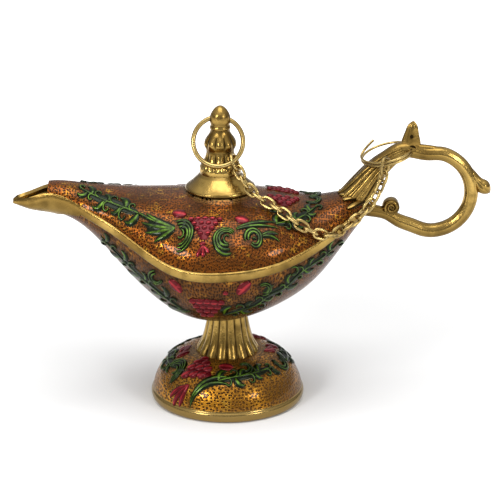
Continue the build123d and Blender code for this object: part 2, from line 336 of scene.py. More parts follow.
class Nodes:
    """Short calls for adding and linking the nodes of one tree."""

    def __init__(self, tree: bpy.types.NodeTree) -> None:
        """Keeps the tree."""
        self.tree = tree

    def feed(self, node: bpy.types.Node, inputs: dict[str | int, object]) -> None:
        """Fills sockets of a node.

        Args:
            node: node that is fed.
            inputs: sockets by name or index, each with a constant or with an output to link.
        """
        for key, value in inputs.items():
            if isinstance(value, bpy.types.NodeSocket):
                self.tree.links.new(value, node.inputs[key])
            else:
                node.inputs[key].default_value = value

    def add(self, kind: str, inputs: dict[str | int, object] | None = None,
            **settings: object) -> bpy.types.Node:
        """Adds one node.

        Args:
            kind: type of the node.
            inputs: its sockets, as for feed.
            settings: properties of the node.

        Returns:
            The new node.
        """
        node = self.tree.nodes.new(kind)
        for key, value in settings.items():
            setattr(node, key, value)
        self.feed(node, inputs or {})
        return node

    def blend(self, share: object, low: object, high: object) -> bpy.types.NodeSocket:
        """Colour between low and high."""
        sockets = {0: share, 6: low, 7: high}
        return self.add("ShaderNodeMix", sockets, data_type="RGBA").outputs[2]

    def lerp(self, share: object, low: object, high: object) -> bpy.types.NodeSocket:
        """Number between low and high."""
        sockets = {0: share, 2: low, 3: high}
        return self.add("ShaderNodeMix", sockets, data_type="FLOAT").outputs[0]

    def math(self, operation: str, first: object, second: object) -> bpy.types.NodeSocket:
        """Result of one sum on two numbers."""
        sockets = {0: first, 1: second}
        return self.add("ShaderNodeMath", sockets, operation=operation, use_clamp=True).outputs[0]

    def spread(self, value: object, low: float, high: float) -> bpy.types.NodeSocket:
        """Number from 0 at low to 1 at high, eased.

        Args:
            value: number that is spread out.
            low: value that gives 0.
            high: value that gives 1.

        Returns:
            The number's socket.
        """
        sockets = {"Value": value, "From Min": low, "From Max": high}
        ramp = self.add("ShaderNodeMapRange", sockets, interpolation_type="SMOOTHSTEP")
        return ramp.outputs["Result"]

    def noise(self, scale: object, detail: float, roughness: float = 0.5) -> bpy.types.NodeSocket:
        """Cloudy number in object coordinates.

        Args:
            scale: clouds per metre.
            detail: number of finer layers.
            roughness: weight of the finer layers.

        Returns:
            The number's socket.
        """
        sockets = {"Vector": self.place(), "Scale": scale, "Detail": detail, "Roughness": roughness}
        return self.add("ShaderNodeTexNoise", sockets).outputs["Fac"]

    def bump(self, strength: object, depth: float, height: object) -> bpy.types.NodeSocket:
        """Normal bent by a height.

        Args:
            strength: share of the bend that shows.
            depth: metres from the lowest to the highest place.
            height: height from 0 to 1.

        Returns:
            The normal's socket.
        """
        sockets = {"Strength": strength, "Distance": depth, "Height": height}
        return self.add("ShaderNodeBump", sockets).outputs[0]

    def seen(self) -> bpy.types.NodeSocket:
        """Mask of the rays that look straight at something, by reflection or through glass.

        Returns:
            The mask's socket.
        """
        path = self.add("ShaderNodeLightPath").outputs
        direct = self.math("MAXIMUM", path["Is Camera Ray"], path["Is Glossy Ray"])
        return self.math("MAXIMUM", direct, path["Is Transmission Ray"])

    def place(self) -> bpy.types.NodeSocket:
        """Object coordinates, in metres of the row frame."""
        return self.add("ShaderNodeTexCoord").outputs["Object"]

    def mark(self, name: Mark) -> bpy.types.NodeSocket:
        """Value of one mark of the mesh."""
        return self.add("ShaderNodeAttribute", attribute_name=name.value).outputs["Fac"]


class Effects:
    """Node groups that the finishes share, with the limits that turn patterns into masks."""

    pit_order: float = 0.7
    pit_wall: Pair = (0.2, 0.46)
    clouds: Pair = (0.34, 0.68)
    grain: Pair = (0.3, 0.7)
    grains_per_metre: float = 1400.0
    gleams: Pair = (0.5, 0.68)
    gleams_per_metre: float = 330.0
    film_and_shade_depth: Pair = (0.25, 0.95)
    film_patches: Pair = (0.48, 0.75)
    film_patches_per_metre: float = 260.0
    film_patch_share: float = 0.42

    def __init__(self) -> None:
        """Makes the groups once."""
        self.stipple = self._stipple()
        self.mottle = self._mottle()
        self.patina_and_shade = self._patina_and_shade()

    @staticmethod
    def _group(name: str, inputs: dict[str, float],
               outputs: Sequence[str]) -> tuple[Nodes, bpy.types.Node, bpy.types.Node]:
        """Empty group with number sockets.

        Args:
            name: name of the group.
            inputs: names of the inputs with their starting values.
            outputs: names of the outputs.

        Returns:
            The group's nodes, its input node and its output node.
        """
        tree = bpy.data.node_groups.new(name, "ShaderNodeTree")
        kind = "NodeSocketFloat"
        for title, value in inputs.items():
            socket = tree.interface.new_socket(name=title, in_out="INPUT", socket_type=kind)
            socket.default_value = value
        for title in outputs:
            tree.interface.new_socket(name=title, in_out="OUTPUT", socket_type=kind)
        nodes = Nodes(tree)
        return nodes, nodes.add("NodeGroupInput"), nodes.add("NodeGroupOutput")

    def _stipple(self) -> bpy.types.NodeTree:
        """Punched ground in the skin's flat places: round pits and the walls between them.

        Returns:
            The group, with the wall as a mask, the height for a bump and a tint per pit.
        """
        nodes, source, result = self._group(
            "Punched ground", {"Pits per millimetre": 1.6}, ["Wall", "Height", "Tint"])
        places = {0: nodes.mark(Mark.FLAT_U), 1: nodes.mark(Mark.FLAT_V)}
        flat = nodes.add("ShaderNodeCombineXYZ", places).outputs[0]
        sockets = {"Vector": flat, "Scale": source.outputs[0], "Randomness": self.pit_order}
        cells = nodes.add("ShaderNodeTexVoronoi", sockets, voronoi_dimensions="2D").outputs
        tint = nodes.add("ShaderNodeSeparateColor", {0: cells["Color"]}).outputs[0]
        wall = nodes.spread(cells["Distance"], *self.pit_wall)
        nodes.feed(result, {"Wall": wall, "Height": wall, "Tint": tint})
        return nodes.tree

    def _mottle(self) -> bpy.types.NodeTree:
        """Cloudy change of tone.

        Returns:
            The group, with broad clouds, fine grain and scattered gleams as masks.
        """
        nodes, source, result = self._group(
            "Cloudy tone", {"Clouds per metre": 90.0}, ["Broad", "Fine", "Gleam"])
        broad = nodes.spread(nodes.noise(source.outputs[0], 3.0), *self.clouds)
        fine = nodes.spread(nodes.noise(self.grains_per_metre, 2.0), *self.grain)
        gleam = nodes.spread(nodes.noise(self.gleams_per_metre, 4.0, 0.65), *self.gleams)
        nodes.feed(result, {"Broad": broad, "Fine": fine, "Gleam": gleam})
        return nodes.tree

    def _patina_and_shade(self) -> bpy.types.NodeTree:
        """Dark film of patina and painted shade that settles in recesses and thins out on high
        parts.

        Returns:
            The group, with the patina and painted shade as a mask.
        """
        nodes, source, result = self._group("Patina and painted shade", {"Recess": 0.0}, ["Film and shade"])
        cloud = nodes.noise(self.film_patches_per_metre, 4.0)
        patch = nodes.spread(cloud, *self.film_patches)
        patch = nodes.math("MULTIPLY", patch, self.film_patch_share)
        deep = nodes.spread(source.outputs[0], *self.film_and_shade_depth)
        nodes.feed(result, {"Film and shade": nodes.math("ADD", deep, patch)})
        return nodes.tree


def new_material(name: str) -> tuple[bpy.types.Material, Nodes, bpy.types.Node]:
    """Material with one main shader.

    Args:
        name: name of the material.

    Returns:
        The material, its nodes and its main shader.
    """
    material = bpy.data.materials.new(name)
    material.use_nodes = True
    material.node_tree.nodes.clear()
    nodes = Nodes(material.node_tree)
    shader = nodes.add("ShaderNodeBsdfPrincipled")
    nodes.add("ShaderNodeOutputMaterial", {"Surface": shader.outputs[0]})
    return material, nodes, shader


@dataclass(frozen=True)
class BrassFinish:
    """Cast or drawn brass, darkened in its recesses by patina and painted shade."""

    name: str
    high: Colour
    low: Colour
    film_and_shade: Colour
    roughness: float
    grain: float
    grain_depth: float = 0.00008
    dull_patch: float = 0.08
    film_roughness: float = 0.55

    def material(self, effects: Effects) -> bpy.types.Material:
        """The finish as a material.

        Args:
            effects: shared node groups.

        Returns:
            The material.
        """
        material, nodes, shader = new_material(self.name)
        tone = nodes.add("ShaderNodeGroup", node_tree=effects.mottle).outputs
        recess = {0: nodes.mark(Mark.RECESS)}
        film_and_shade = nodes.add("ShaderNodeGroup", recess, node_tree=effects.patina_and_shade).outputs["Film and shade"]
        metal = nodes.blend(tone["Broad"], self.low, self.high)
        rough = nodes.lerp(tone["Broad"], self.roughness + self.dull_patch, self.roughness)
        # The dark colour in recesses is patina and painted shade.
        nodes.feed(shader, {
            "Base Color": nodes.blend(film_and_shade, metal, self.film_and_shade),
            "Roughness": nodes.lerp(film_and_shade, rough, self.film_roughness),
            "Normal": nodes.bump(self.grain, self.grain_depth, tone["Fine"]),
            "Metallic": 1.0,
        })
        return material


@dataclass(frozen=True)
class GroundEnamel:
    """Clear amber enamel over a punched ground, with bare metal where the bare mark says so."""

    name: str
    spark: Colour
    wall: Colour
    pit: Colour
    dusk: Colour
    pits_per_mm: float
    depth: float
    bare: Colour = (0.3, 0.2, 0.065, 1.0)
    relief: float = 0.7
    cloud: float = 0.75
    pooled_shade_strength: float = 0.9
    metallic: float = 0.75
    roughness: float = 0.27
    bare_roughness: float = 0.24
    coat: float = 0.12

    def material(self, effects: Effects) -> bpy.types.Material:
        """The finish as a material.

        Args:
            effects: shared node groups.

        Returns:
            The material.
        """
        material, nodes, shader = new_material(self.name)
        pitch = {0: self.pits_per_mm}
        ground = nodes.add("ShaderNodeGroup", pitch, node_tree=effects.stipple).outputs
        tone = nodes.add("ShaderNodeGroup", node_tree=effects.mottle).outputs
        bare = nodes.mark(Mark.BARE)
        grain = nodes.math("MULTIPLY", ground["Wall"], nodes.lerp(tone["Fine"], 0.6, 1.0))
        sparkle = nodes.math("MULTIPLY", nodes.spread(ground["Tint"], 0.2, 0.9), tone["Gleam"])
        glaze = nodes.blend(grain, self.pit, nodes.blend(sparkle, self.wall, self.spark))
        # Dark clouds at random, and pooled enamel with painted shade round the strokes.
        cloud = nodes.math("MULTIPLY", tone["Broad"], self.cloud)
        pool = nodes.math("MULTIPLY", nodes.mark(Mark.POOLED_SHADE), self.pooled_shade_strength)
        shaded = nodes.blend(nodes.math("MAXIMUM", cloud, pool), glaze, self.dusk)
        nodes.feed(shader, {
            "Base Color": nodes.blend(bare, shaded, self.bare),
            "Metallic": nodes.lerp(bare, self.metallic, 1.0),
            "Roughness": nodes.lerp(bare, self.roughness, self.bare_roughness),
            "Coat Weight": nodes.lerp(bare, self.coat, 0.0),
            "Normal": nodes.bump(nodes.lerp(bare, self.relief, 0.0), self.depth, ground["Height"]),
            "Specular IOR Level": ENAMEL_SPECULAR,
            "Coat Roughness": COAT_ROUGHNESS,
        })
        return material


@dataclass(frozen=True)
class InlayEnamel:
    """Opaque enamel of a raised stroke, with a painted highlight on its crown and gilt along its
    edge.
    """

    name: str
    crown: Colour
    flank: Colour
    edge: Colour
    clouds_per_metre: float = 420.0
    grain: float = 0.35
    grain_depth: float = 0.0001
    metallic: float = 0.45
    roughness: float = 0.24
    coat: float = 0.18

    def material(self, effects: Effects) -> bpy.types.Material:
        """The finish as a material.

        Args:
            effects: shared node groups.

        Returns:
            The material.
        """
        material, nodes, shader = new_material(self.name)
        clouds = {0: self.clouds_per_metre}
        tone = nodes.add("ShaderNodeGroup", clouds, node_tree=effects.mottle).outputs
        relief = nodes.mark(Mark.RELIEF)
        # Painted highlight: the crown colour on top of each stroke, stronger in random patches.
        partial_share = nodes.lerp(tone["Broad"], 0.15, 1.0)
        lit = nodes.math("MULTIPLY", nodes.spread(relief, 0.9, 1.0), partial_share)
        glaze = nodes.blend(lit, self.flank, self.crown)
        gilt = nodes.lerp(tone["Broad"], 0.0, 0.6)
        rim = nodes.math("MULTIPLY", nodes.spread(relief, 0.2, 0.05), gilt)
        nodes.feed(shader, {
            "Base Color": nodes.blend(rim, glaze, self.edge),
            "Normal": nodes.bump(self.grain, self.grain_depth, tone["Fine"]),
            "Metallic": self.metallic,
            "Roughness": self.roughness,
            "Coat Weight": self.coat,
            "Specular IOR Level": ENAMEL_SPECULAR,
            "Coat Roughness": COAT_ROUGHNESS,
        })
        return material


@dataclass(frozen=True)
class Palette:
    """All finishes of the lamp as materials."""

    amber: bpy.types.Material
    shaded_amber: bpy.types.Material
    foot_amber: bpy.types.Material
    brass: bpy.types.Material
    wire: bpy.types.Material
    green: bpy.types.Material
    pink: bpy.types.Material

    @classmethod
    def made(cls) -> "Palette":
        """Makes every material once.

        Returns:
            The finished palette.
        """
        finishes = {
            "amber": GroundEnamel(
                "Amber enamel", (0.88, 0.46, 0.04, 1), (0.29, 0.082, 0.008, 1),
                (0.024, 0.007, 0.0015, 1), (0.05, 0.019, 0.004, 1), 1.55, 0.00016),
            # Darker copy of the amber enamel: painted shade for the bowl under the shell.
            "shaded_amber": GroundEnamel(
                "Shaded amber enamel", (0.6, 0.28, 0.035, 1), (0.22, 0.08, 0.014, 1),
                (0.022, 0.008, 0.002, 1), (0.03, 0.014, 0.005, 1), 1.5, 0.00016),
            "foot_amber": GroundEnamel(
                "Amber foot enamel", (0.92, 0.52, 0.06, 1), (0.6, 0.26, 0.02, 1),
                (0.025, 0.008, 0.0015, 1), (0.1, 0.042, 0.007, 1), 1.25, 0.00018),
            # The third colour of brass and wire is patina and painted shade.
            "brass": BrassFinish(
                "Cast brass", (0.4, 0.262, 0.072, 1), (0.2, 0.122, 0.03, 1),
                (0.018, 0.01, 0.003, 1), 0.2, 0.22),
            "wire": BrassFinish(
                "Dull brass wire", (0.5, 0.365, 0.135, 1), (0.32, 0.22, 0.075, 1),
                (0.03, 0.018, 0.008, 1), 0.22, 0.1),
            # The first colour of each inlay is its painted crown highlight.
            "green": InlayEnamel(
                "Green enamel", (0.1, 0.2, 0.012, 1), (0.004, 0.009, 0.002, 1),
                (0.2, 0.13, 0.03, 1)),
            "pink": InlayEnamel(
                "Pink enamel", (0.5, 0.035, 0.045, 1), (0.1, 0.004, 0.007, 1),
                (0.2, 0.06, 0.02, 1)),
        }
        effects = Effects()
        return cls(**{key: finish.material(effects) for key, finish in finishes.items()})


@dataclass(frozen=True)
class Hull:
    """The boat-shaped body as cross-sections: two half ellipses that meet at a seam."""

    x: tuple[float, ...] = (-56.5, -52.0, -47.0, -38.0, -28.0, -15.0, 0.0, 14.0, 25.0, 32.0, 36.2)
    half_widths: tuple[float, ...] = (0.9, 3.3, 4.4, 6.8, 12.0, 20.2, 24.0, 20.6, 13.2, 7.6, 3.2)
    seams: tuple[float, ...] = (55.2, 55.7, 57.2, 54.6, 49.8, 43.2, 42.3, 44.0, 47.7, 51.4, 53.4)
    bottoms: tuple[float, ...] = (54.6, 53.6, 52.8, 48.9, 38.4, 26.8, 23.5, 28.2, 36.2, 45.4, 51.0)
    crests: tuple[float, ...] = (56.0, 59.2, 60.7, 60.1, 59.0, 58.5, 58.4, 57.3, 56.5, 57.6, 56.4)
    band_half_height: float = 1.4
    wall: float = 1.6

    def half_width(self, x: Array) -> Array:
        """Half width at the seam."""
        return natural_spline(self.x, self.half_widths)(x)

    def seam(self, x: Array) -> Array:
        """Height of the seam."""
        return natural_spline(self.x, self.seams)(x)

    def depth(self, x: Array) -> Array:
        """Depth of the lower half below the seam."""
        return self.seam(x) - natural_spline(self.x, self.bottoms)(x)

    def rise(self, x: Array) -> Array:
        """Rise of the upper half above the seam."""
        return natural_spline(self.x, self.crests)(x) - self.seam(x)

    def upper(self, x: Array, y: Array) -> Array:
        """Height of the upper half: seam + rise sqrt(1 - (y / w)^2)."""
        share = y / self.half_width(x)
        return self.seam(x) + self.rise(x) * np.sqrt(np.clip(1 - share ** 2, 0, 1))

    def flank(self, x: Array, z: Array) -> Array:
        """Half width of the lower half at a height: w sqrt(1 - ((seam - z) / depth)^2)."""
        share = (self.seam(x) - z) / self.depth(x)
        return self.half_width(x) * np.sqrt(np.clip(1 - share ** 2, 0, 1))

    def section(self, x: Array, angle: Array, grow: Array | float) -> Array:
        """Points on cross-sections: y = (w + g) cos a, z = seam + (half height + g) sin a.

        Args:
            x: places along the hull, broadcast with angle.
            angle: angle from the far side of the seam, up positive.
            grow: distance that the section is grown by.

        Returns:
            Points with the broadcast shape.
        """
        x, angle, grow = np.broadcast_arrays(x, angle, grow)
        half = np.where(angle_is_up(angle), self.rise(x), self.depth(x))
        y = (self.half_width(x) + grow) * np.cos(angle)
        return np.stack([x, y, self.seam(x) + (half + grow) * np.sin(angle)], -1)


def angle_is_up(angle: Array) -> Array:
    """Whether an angle points to the upper half."""
    return np.sin(angle) > 0


@dataclass(frozen=True)
class BodyShape:
    """Bowl, seam band with pouring lip, and upper shell with its neck."""

    hull: Hull
    bowl_front: float = -38.0
    mouth: float = -47.0
    tail: float = 36.2
    tip: float = -56.5
    edge_tuck: float = 0.96
    lip_tuck: float = 0.97
    band_proud: float = 0.5
    band_sink: float = 0.04
    band_overlap: float = 0.6
    lip_sink: float = 0.03
    lip_bury: float = 0.75
    lip_wall: float = 1.0
    lip_slant: float = -7.0
    tip_taper: float = 6.0
    trough_fill: float = 0.5
    full_wall_x: float = -30.0
    neck_x: float = -1.7
    neck: float = 8.9
    neck_top: float = 58.6
    neck_round: float = 0.25
    bore: float = 7.4
    bore_foot: float = 56.4
    bore_round: float = 0.2
    collar_foot: float = 58.45
    collar_reach: float = 3.2
    collar_drop: float = 2.2
    collar_soft: float = 0.2
    rows: int = 190
    bowl_points: int = 100
    band_points: int = 17
    lip_rows: int = 150
    lip_points: int = 72
    shell_rows: int = 56
    side_points: int = 160
    end_points: int = 12

    def bowl(self) -> Skin:
        """Lower half of the hull below the band, as an outer and an inner run of one section.

        Returns:
            The bowl, with flat places along the hull and away from its keel.
        """
        x = np.linspace(self.bowl_front + self.lip_slant, self.tail, self.rows)[:, None]
        edge = np.arcsin(self.hull.band_half_height / self.hull.depth(x)) * self.edge_tuck
        angle = -edge - (np.pi - 2 * edge) * np.linspace(0, 1, self.bowl_points)[None]
        outer = self.hull.section(x, angle, 0.0)
        inner = self.hull.section(x, angle, -self.hull.wall)
        points = np.concatenate([outer, inner[:, ::-1]], 1)
        deep = points[..., 2] - self.hull.seam(x) + self.hull.depth(x)
        flat = np.sign(points[..., 1]) * np.hypot(points[..., 1], deep)
        return Skin(points, marks={Mark.FLAT_U: points[..., 0], Mark.FLAT_V: flat})

    def bands(self) -> list[Skin]:
        """Raised seam bands: the hull grown by p (1 - c^6), with c from -1 to 1 across the band.

        Returns:
            The far band and the near one.
        """
        x = np.linspace(self.bowl_front - self.band_overlap, self.tail, self.rows)[:, None]
        across = np.linspace(-1, 1, self.band_points)[None]
        half = np.where(across > 0, self.hull.rise(x), self.hull.depth(x))
        tilt = np.arcsin(np.clip(self.hull.band_half_height * across / half, -1, 1))
        grow = self.band_proud * (1 - across ** 6) - self.band_sink + np.zeros_like(x)
        skins = []
        for angle in (tilt, np.pi - tilt):
            outer = self.hull.section(x, angle, grow)
            inner = self.hull.section(x, angle[:, ::-1], -self.hull.wall)
            # Patina and painted shade along the band's edges and over its inner side.
            recess = np.broadcast_to(np.abs(across) ** 6, outer.shape[:2])
            film_and_shade = 0.8 * np.concatenate([recess, np.ones(inner.shape[:2])], 1)
            skins.append(Skin(np.concatenate([outer, inner], 1), marks={Mark.RECESS: film_and_shade}))
        return skins

    def lip(self) -> Skin:
        """Open pouring lip: the band's section carried round the keel and thinned to its tip.

        Its underside sinks into the bowl behind a slanting limit, and its trough is part filled.

        Returns:
            The lip, with painted shade inside the spout under its roof.
        """
        run = np.linspace(0, 1, self.lip_rows) ** 1.15
        x = (self.tip + (self.bowl_front - self.tip) * run)[:, None]
        top = np.arcsin(np.clip(self.hull.band_half_height / self.hull.rise(x), 0, 1))
        top = top * self.lip_tuck
        angle = top - (np.pi + 2 * top) * np.linspace(0, 1, self.lip_points)[None]
        band_foot = self.hull.seam(x) - self.hull.band_half_height
        below = np.clip(band_foot - self.hull.section(x, angle, 0.0)[..., 2], 0, 9)
        limit = self.bowl_front + self.lip_slant * smooth_step(-0.4, 4.0, below)
        under = smooth_step(-0.25, 0.25, x - limit)
        proud = smooth_step(self.tip, self.tip + self.tip_taper, x)
        grow = (self.band_proud - self.lip_sink) * proud - self.lip_bury * under
        outer = self.hull.section(x, angle, grow)
        wall = np.minimum(self.lip_wall, 0.55 * self.hull.half_width(x))
        inner = self.hull.section(x, angle, -wall)
        depth = np.clip(self.hull.seam(x) - inner[..., 2], 0, None)
        open_run = 1 - smooth_step(self.mouth - 3, self.mouth + 3, x)
        inner[..., 2] += self.trough_fill * open_run * depth
        # Painted shade inside the trough under the roof.
        film_and_shade = 0.6 * smooth_step(self.mouth - 2, self.mouth + 3, x) * np.ones(inner.shape[:2])
        recess = np.concatenate([np.zeros(outer.shape[:2]), film_and_shade], 1)
        return Skin(np.concatenate([outer, inner[:, ::-1]], 1), marks={Mark.RECESS: recess})

    def _edge(self) -> Array:
        """Plan outline of the upper shell at the band's top edge.

        Returns:
            A closed run of points: near side, tail, far side and mouth.
        """
        swing = (1 - np.cos(np.linspace(0, np.pi, self.side_points))) / 2
        x = self.mouth + (self.tail - self.mouth) * swing
        share = np.clip(self.hull.band_half_height / self.hull.rise(x), 0, 1) * self.edge_tuck
        y = self.hull.half_width(x) * np.sqrt(1 - share ** 2)
        ends = np.linspace(-1, 1, self.end_points + 2)[1:-1]
        tail = np.stack([np.full(self.end_points, self.tail), ends * y[-1]], -1)
        mouth = np.stack([np.full(self.end_points, self.mouth), -ends * y[0]], -1)
        near = np.stack([x, -y], -1)
        far = np.stack([x[::-1], y[::-1]], -1)
        return np.concatenate([near, tail, far, mouth])

    def upper_shell(self) -> Skin:
        """Upper half of the hull as columns from the bore to the band's edge and back inside.

        The outer height is the hull's, smoothly joined with the collar's flare:
        hull + soft log(1 + exp((flare - hull) / soft)), faded out past the collar.

        Returns:
            The shell, bare at its neck, with flat places along the hull and away from its crest.
        """
        edge = self._edge()
        centre = np.array([self.neck_x, 0.0])
        out = unit(edge - centre)
        share = np.linspace(0, 1, self.shell_rows)[:, None, None]
        plan = centre + out * self.neck + (edge - centre - out * self.neck) * share
        x, y = plan[..., 0], plan[..., 1]
        reach = np.linalg.norm(plan - centre, axis=-1) - self.neck
        hull_z = self.hull.upper(x, y)
        flare = self.collar_foot - self.collar_drop * (reach / self.collar_reach) ** 0.7
        fade = 1 - smooth_step(0.6 * self.collar_reach, 1.5 * self.collar_reach, reach)
        soft = self.collar_soft
        outer_z = hull_z + fade * soft * np.logaddexp(0, (flare - hull_z) / soft)
        lift = np.clip((hull_z - self.hull.seam(x)) / self.hull.rise(x), 0, 1)
        thicken = smooth_step(self.mouth, self.full_wall_x, x)
        wall = self.lip_wall + (self.hull.wall - self.lip_wall) * thicken
        inner_y = y * (1 - wall / self.hull.half_width(x))
        inner_z = self.hull.seam(x) + (self.hull.rise(x) - wall) * lift
        rim = [(self.bore, self.bore_foot), (self.bore, self.neck_top - self.bore_round),
               (self.bore + self.bore_round, self.neck_top),
               (self.neck - self.neck_round, self.neck_top)]
        levels = np.ones((len(edge), 1))
        neck = np.stack([np.concatenate([centre + out * r, z * levels], -1) for r, z in rim])
        outer = np.stack([x, y, outer_z], -1)
        inner = np.stack([x, inner_y, inner_z], -1)[::-1]
        rows = np.concatenate([neck, outer, inner])
        partial_share = 0.15 * (1 - smooth_step(0.6, 1.6, reach))
        partial_share[0] = 1.0
        bare = np.concatenate([np.ones(neck.shape[:2]), partial_share, np.full(inner.shape[:2], 0.6)])
        fall = self.hull.seam(rows[..., 0]) + self.hull.rise(rows[..., 0]) - rows[..., 2]
        flat = np.sign(rows[..., 1]) * np.hypot(rows[..., 1], fall)
        marks = {Mark.BARE: bare.T, Mark.FLAT_U: rows[..., 0].T, Mark.FLAT_V: flat.T}
        return Skin(rows.transpose(1, 0, 2), closed=True, marks=marks)

    def build(self, palette: Palette, decoration: "Decoration") -> None:
        """Makes and dresses the pieces of the body.

        Args:
            palette: all finishes.
            decoration: ornament that pooled enamel and painted shade gather round.
        """
        bowl, upper = self.bowl(), self.upper_shell()
        decoration.pool(bowl, decoration.bowl_chart, decoration.bowl_scrolls())
        decoration.pool(upper, decoration.upper_chart, decoration.upper_scrolls())
        make_piece("bowl_skin", [bowl], palette.shaded_amber, Body.LAMP, ["bowl"])
        make_piece("seam_band", [self.lip(), *self.bands()], palette.brass, Body.LAMP,
                   ["rim_band"])
        make_piece("upper_skin", [upper], palette.amber, Body.LAMP, ["upper_shell"])


@dataclass(frozen=True)
class FootShape:
    """Domed foot with a bare rim, and the reeded stem on it."""

    rim: float = 20.7
    rim_steps: tuple[Pair, ...] = (
        (-1.2, 0.02), (-0.55, 0.3), (-0.12, 1.0), (0.0, 1.8), (-0.1, 2.4), (-0.4, 2.8))
    dome_edge: Pair = (20.2, 2.85)
    dome_top: Pair = (9.0, 13.4)
    bulge: float = 2.85
    hollow_edge: float = 18.4
    hollow_top: Pair = (8.3, 11.6)
    seat: float = 6.0
    worn_ring: Pair = (9.0, 11.2)
    pit_radius: float = 16.0
    worn_share: float = 0.15
    sides: int = 200
    rim_rows: int = 26
    hollow_rows: int = 18
    dome_rows: int = 44
    height_samples: int = 80
    stem_rows: int = 60
    reeds: int = 16
    reed_points: int = 14
    stem_heights: tuple[float, ...] = (13.0, 13.9, 15.4, 18.4, 22.0, 25.1, 26.2)
    stem_radii: tuple[float, ...] = (8.7, 8.35, 7.5, 6.4, 5.65, 5.3, 5.2)
    reed_depths: tuple[float, ...] = (0.16, 0.16, 0.14, 0.12, 0.12, 0.12, 0.12)

    def dome(self, share: Array) -> Array:
        """Arc of the dome through its edge and its top, bulging out from their chord.

        Args:
            share: places from the edge at 0 to the top at 1.

        Returns:
            Radius and height at each place.
        """
        low, high = np.array(self.dome_edge), np.array(self.dome_top)
        chord = high - low
        length = np.linalg.norm(chord)
        along = chord / length
        out = -left_of(along)
        radius = (length ** 2 / 4 + self.bulge ** 2) / (2 * self.bulge)
        angle = ((2 * share - 1) * np.arcsin(length / 2 / radius))[..., None]
        centre = (low + high) / 2 - out * (radius - self.bulge)
        return centre + radius * (np.sin(angle) * along + np.cos(angle) * out)

    def height(self, x: Array, y: Array) -> Array:
        """Height of the dome over places in plan.

        Args:
            x: places along the lamp.
            y: places across it.

        Returns:
            The heights.
        """
        arc = self.dome(np.linspace(0, 1, self.height_samples))
        rising = arc[np.argsort(arc[:, 0])]
        return np.interp(np.hypot(x, y), rising[:, 0], rising[:, 1])

    def foot(self) -> Skin:
        """Foot as a profile turned about its axis, hollow below.

        Returns:
            The foot, bare at its rim and inside, with flat places round it and along the profile.
        """
        inner_edge = (self.hollow_edge, 0.0)
        steps = [(self.rim + step, height) for step, height in self.rim_steps]
        rim = smooth_path([inner_edge, *steps], self.rim_rows).clip(0)
        under = np.linspace(self.hollow_top, inner_edge, self.hollow_rows)[:-1]
        start = [(POLE_RADIUS, self.hollow_top[1])]
        end = [(self.seat, self.dome_top[1]), (POLE_RADIUS, self.dome_top[1])]
        dome = self.dome(np.linspace(0.01, 1, self.dome_rows))
        profile = np.concatenate([start, under, rim, dome, end])
        bare = self.worn_share * (1 - smooth_step(*self.worn_ring, profile[:, :1]))
        bare[:len(profile) - len(dome) - 1] = 1.0
        steps_along = np.linalg.norm(np.diff(profile, axis=0), axis=1)
        skin = revolve(profile, self.sides)
        skin.marks[Mark.BARE] = bare
        skin.marks[Mark.FLAT_U] = self.pit_radius * full_turn(self.sides)[None]
        skin.marks[Mark.FLAT_V] = np.concatenate([[0], np.cumsum(steps_along)])[:, None]
        return skin

    def stem(self) -> Skin:
        """Reeded stem: r = R(z) (1 - d (1 - sqrt(1 - s^2))), with s from -1 to 1 across each reed.

        Returns:
            The stem, with patina and painted shade between its reeds.
        """
        z = np.linspace(self.stem_heights[0], self.stem_heights[-1], self.stem_rows)
        radius = natural_spline(self.stem_heights, self.stem_radii)(z)
        depth = natural_spline(self.stem_heights, self.reed_depths)(z)
        sides = self.reeds * self.reed_points
        across = 2 * ((np.arange(sides) + 0.5) / sides * self.reeds % 1) - 1
        groove = 1 - np.sqrt(1 - across ** 2)
        skin = revolve(np.stack([radius, z], -1), sides, lobes=1 - depth[:, None] * groove)
        # Patina and painted shade in the grooves.
        skin.marks[Mark.RECESS] = np.broadcast_to(groove ** 0.7, (len(z), sides))
        return skin

    def build(self, palette: Palette, decoration: "Decoration") -> None:
        """Makes and dresses foot and stem.

        Args:
            palette: all finishes.
            decoration: ornament that pooled enamel and painted shade gather round.
        """
        foot = self.foot()
        decoration.pool(foot, decoration.foot_chart, decoration.foot_scrolls())
        make_piece("foot_dome", [foot], palette.foot_amber, Body.LAMP, ["foot"])
        make_piece("reeded_stem", [self.stem()], palette.brass, Body.LAMP, ["stem"])


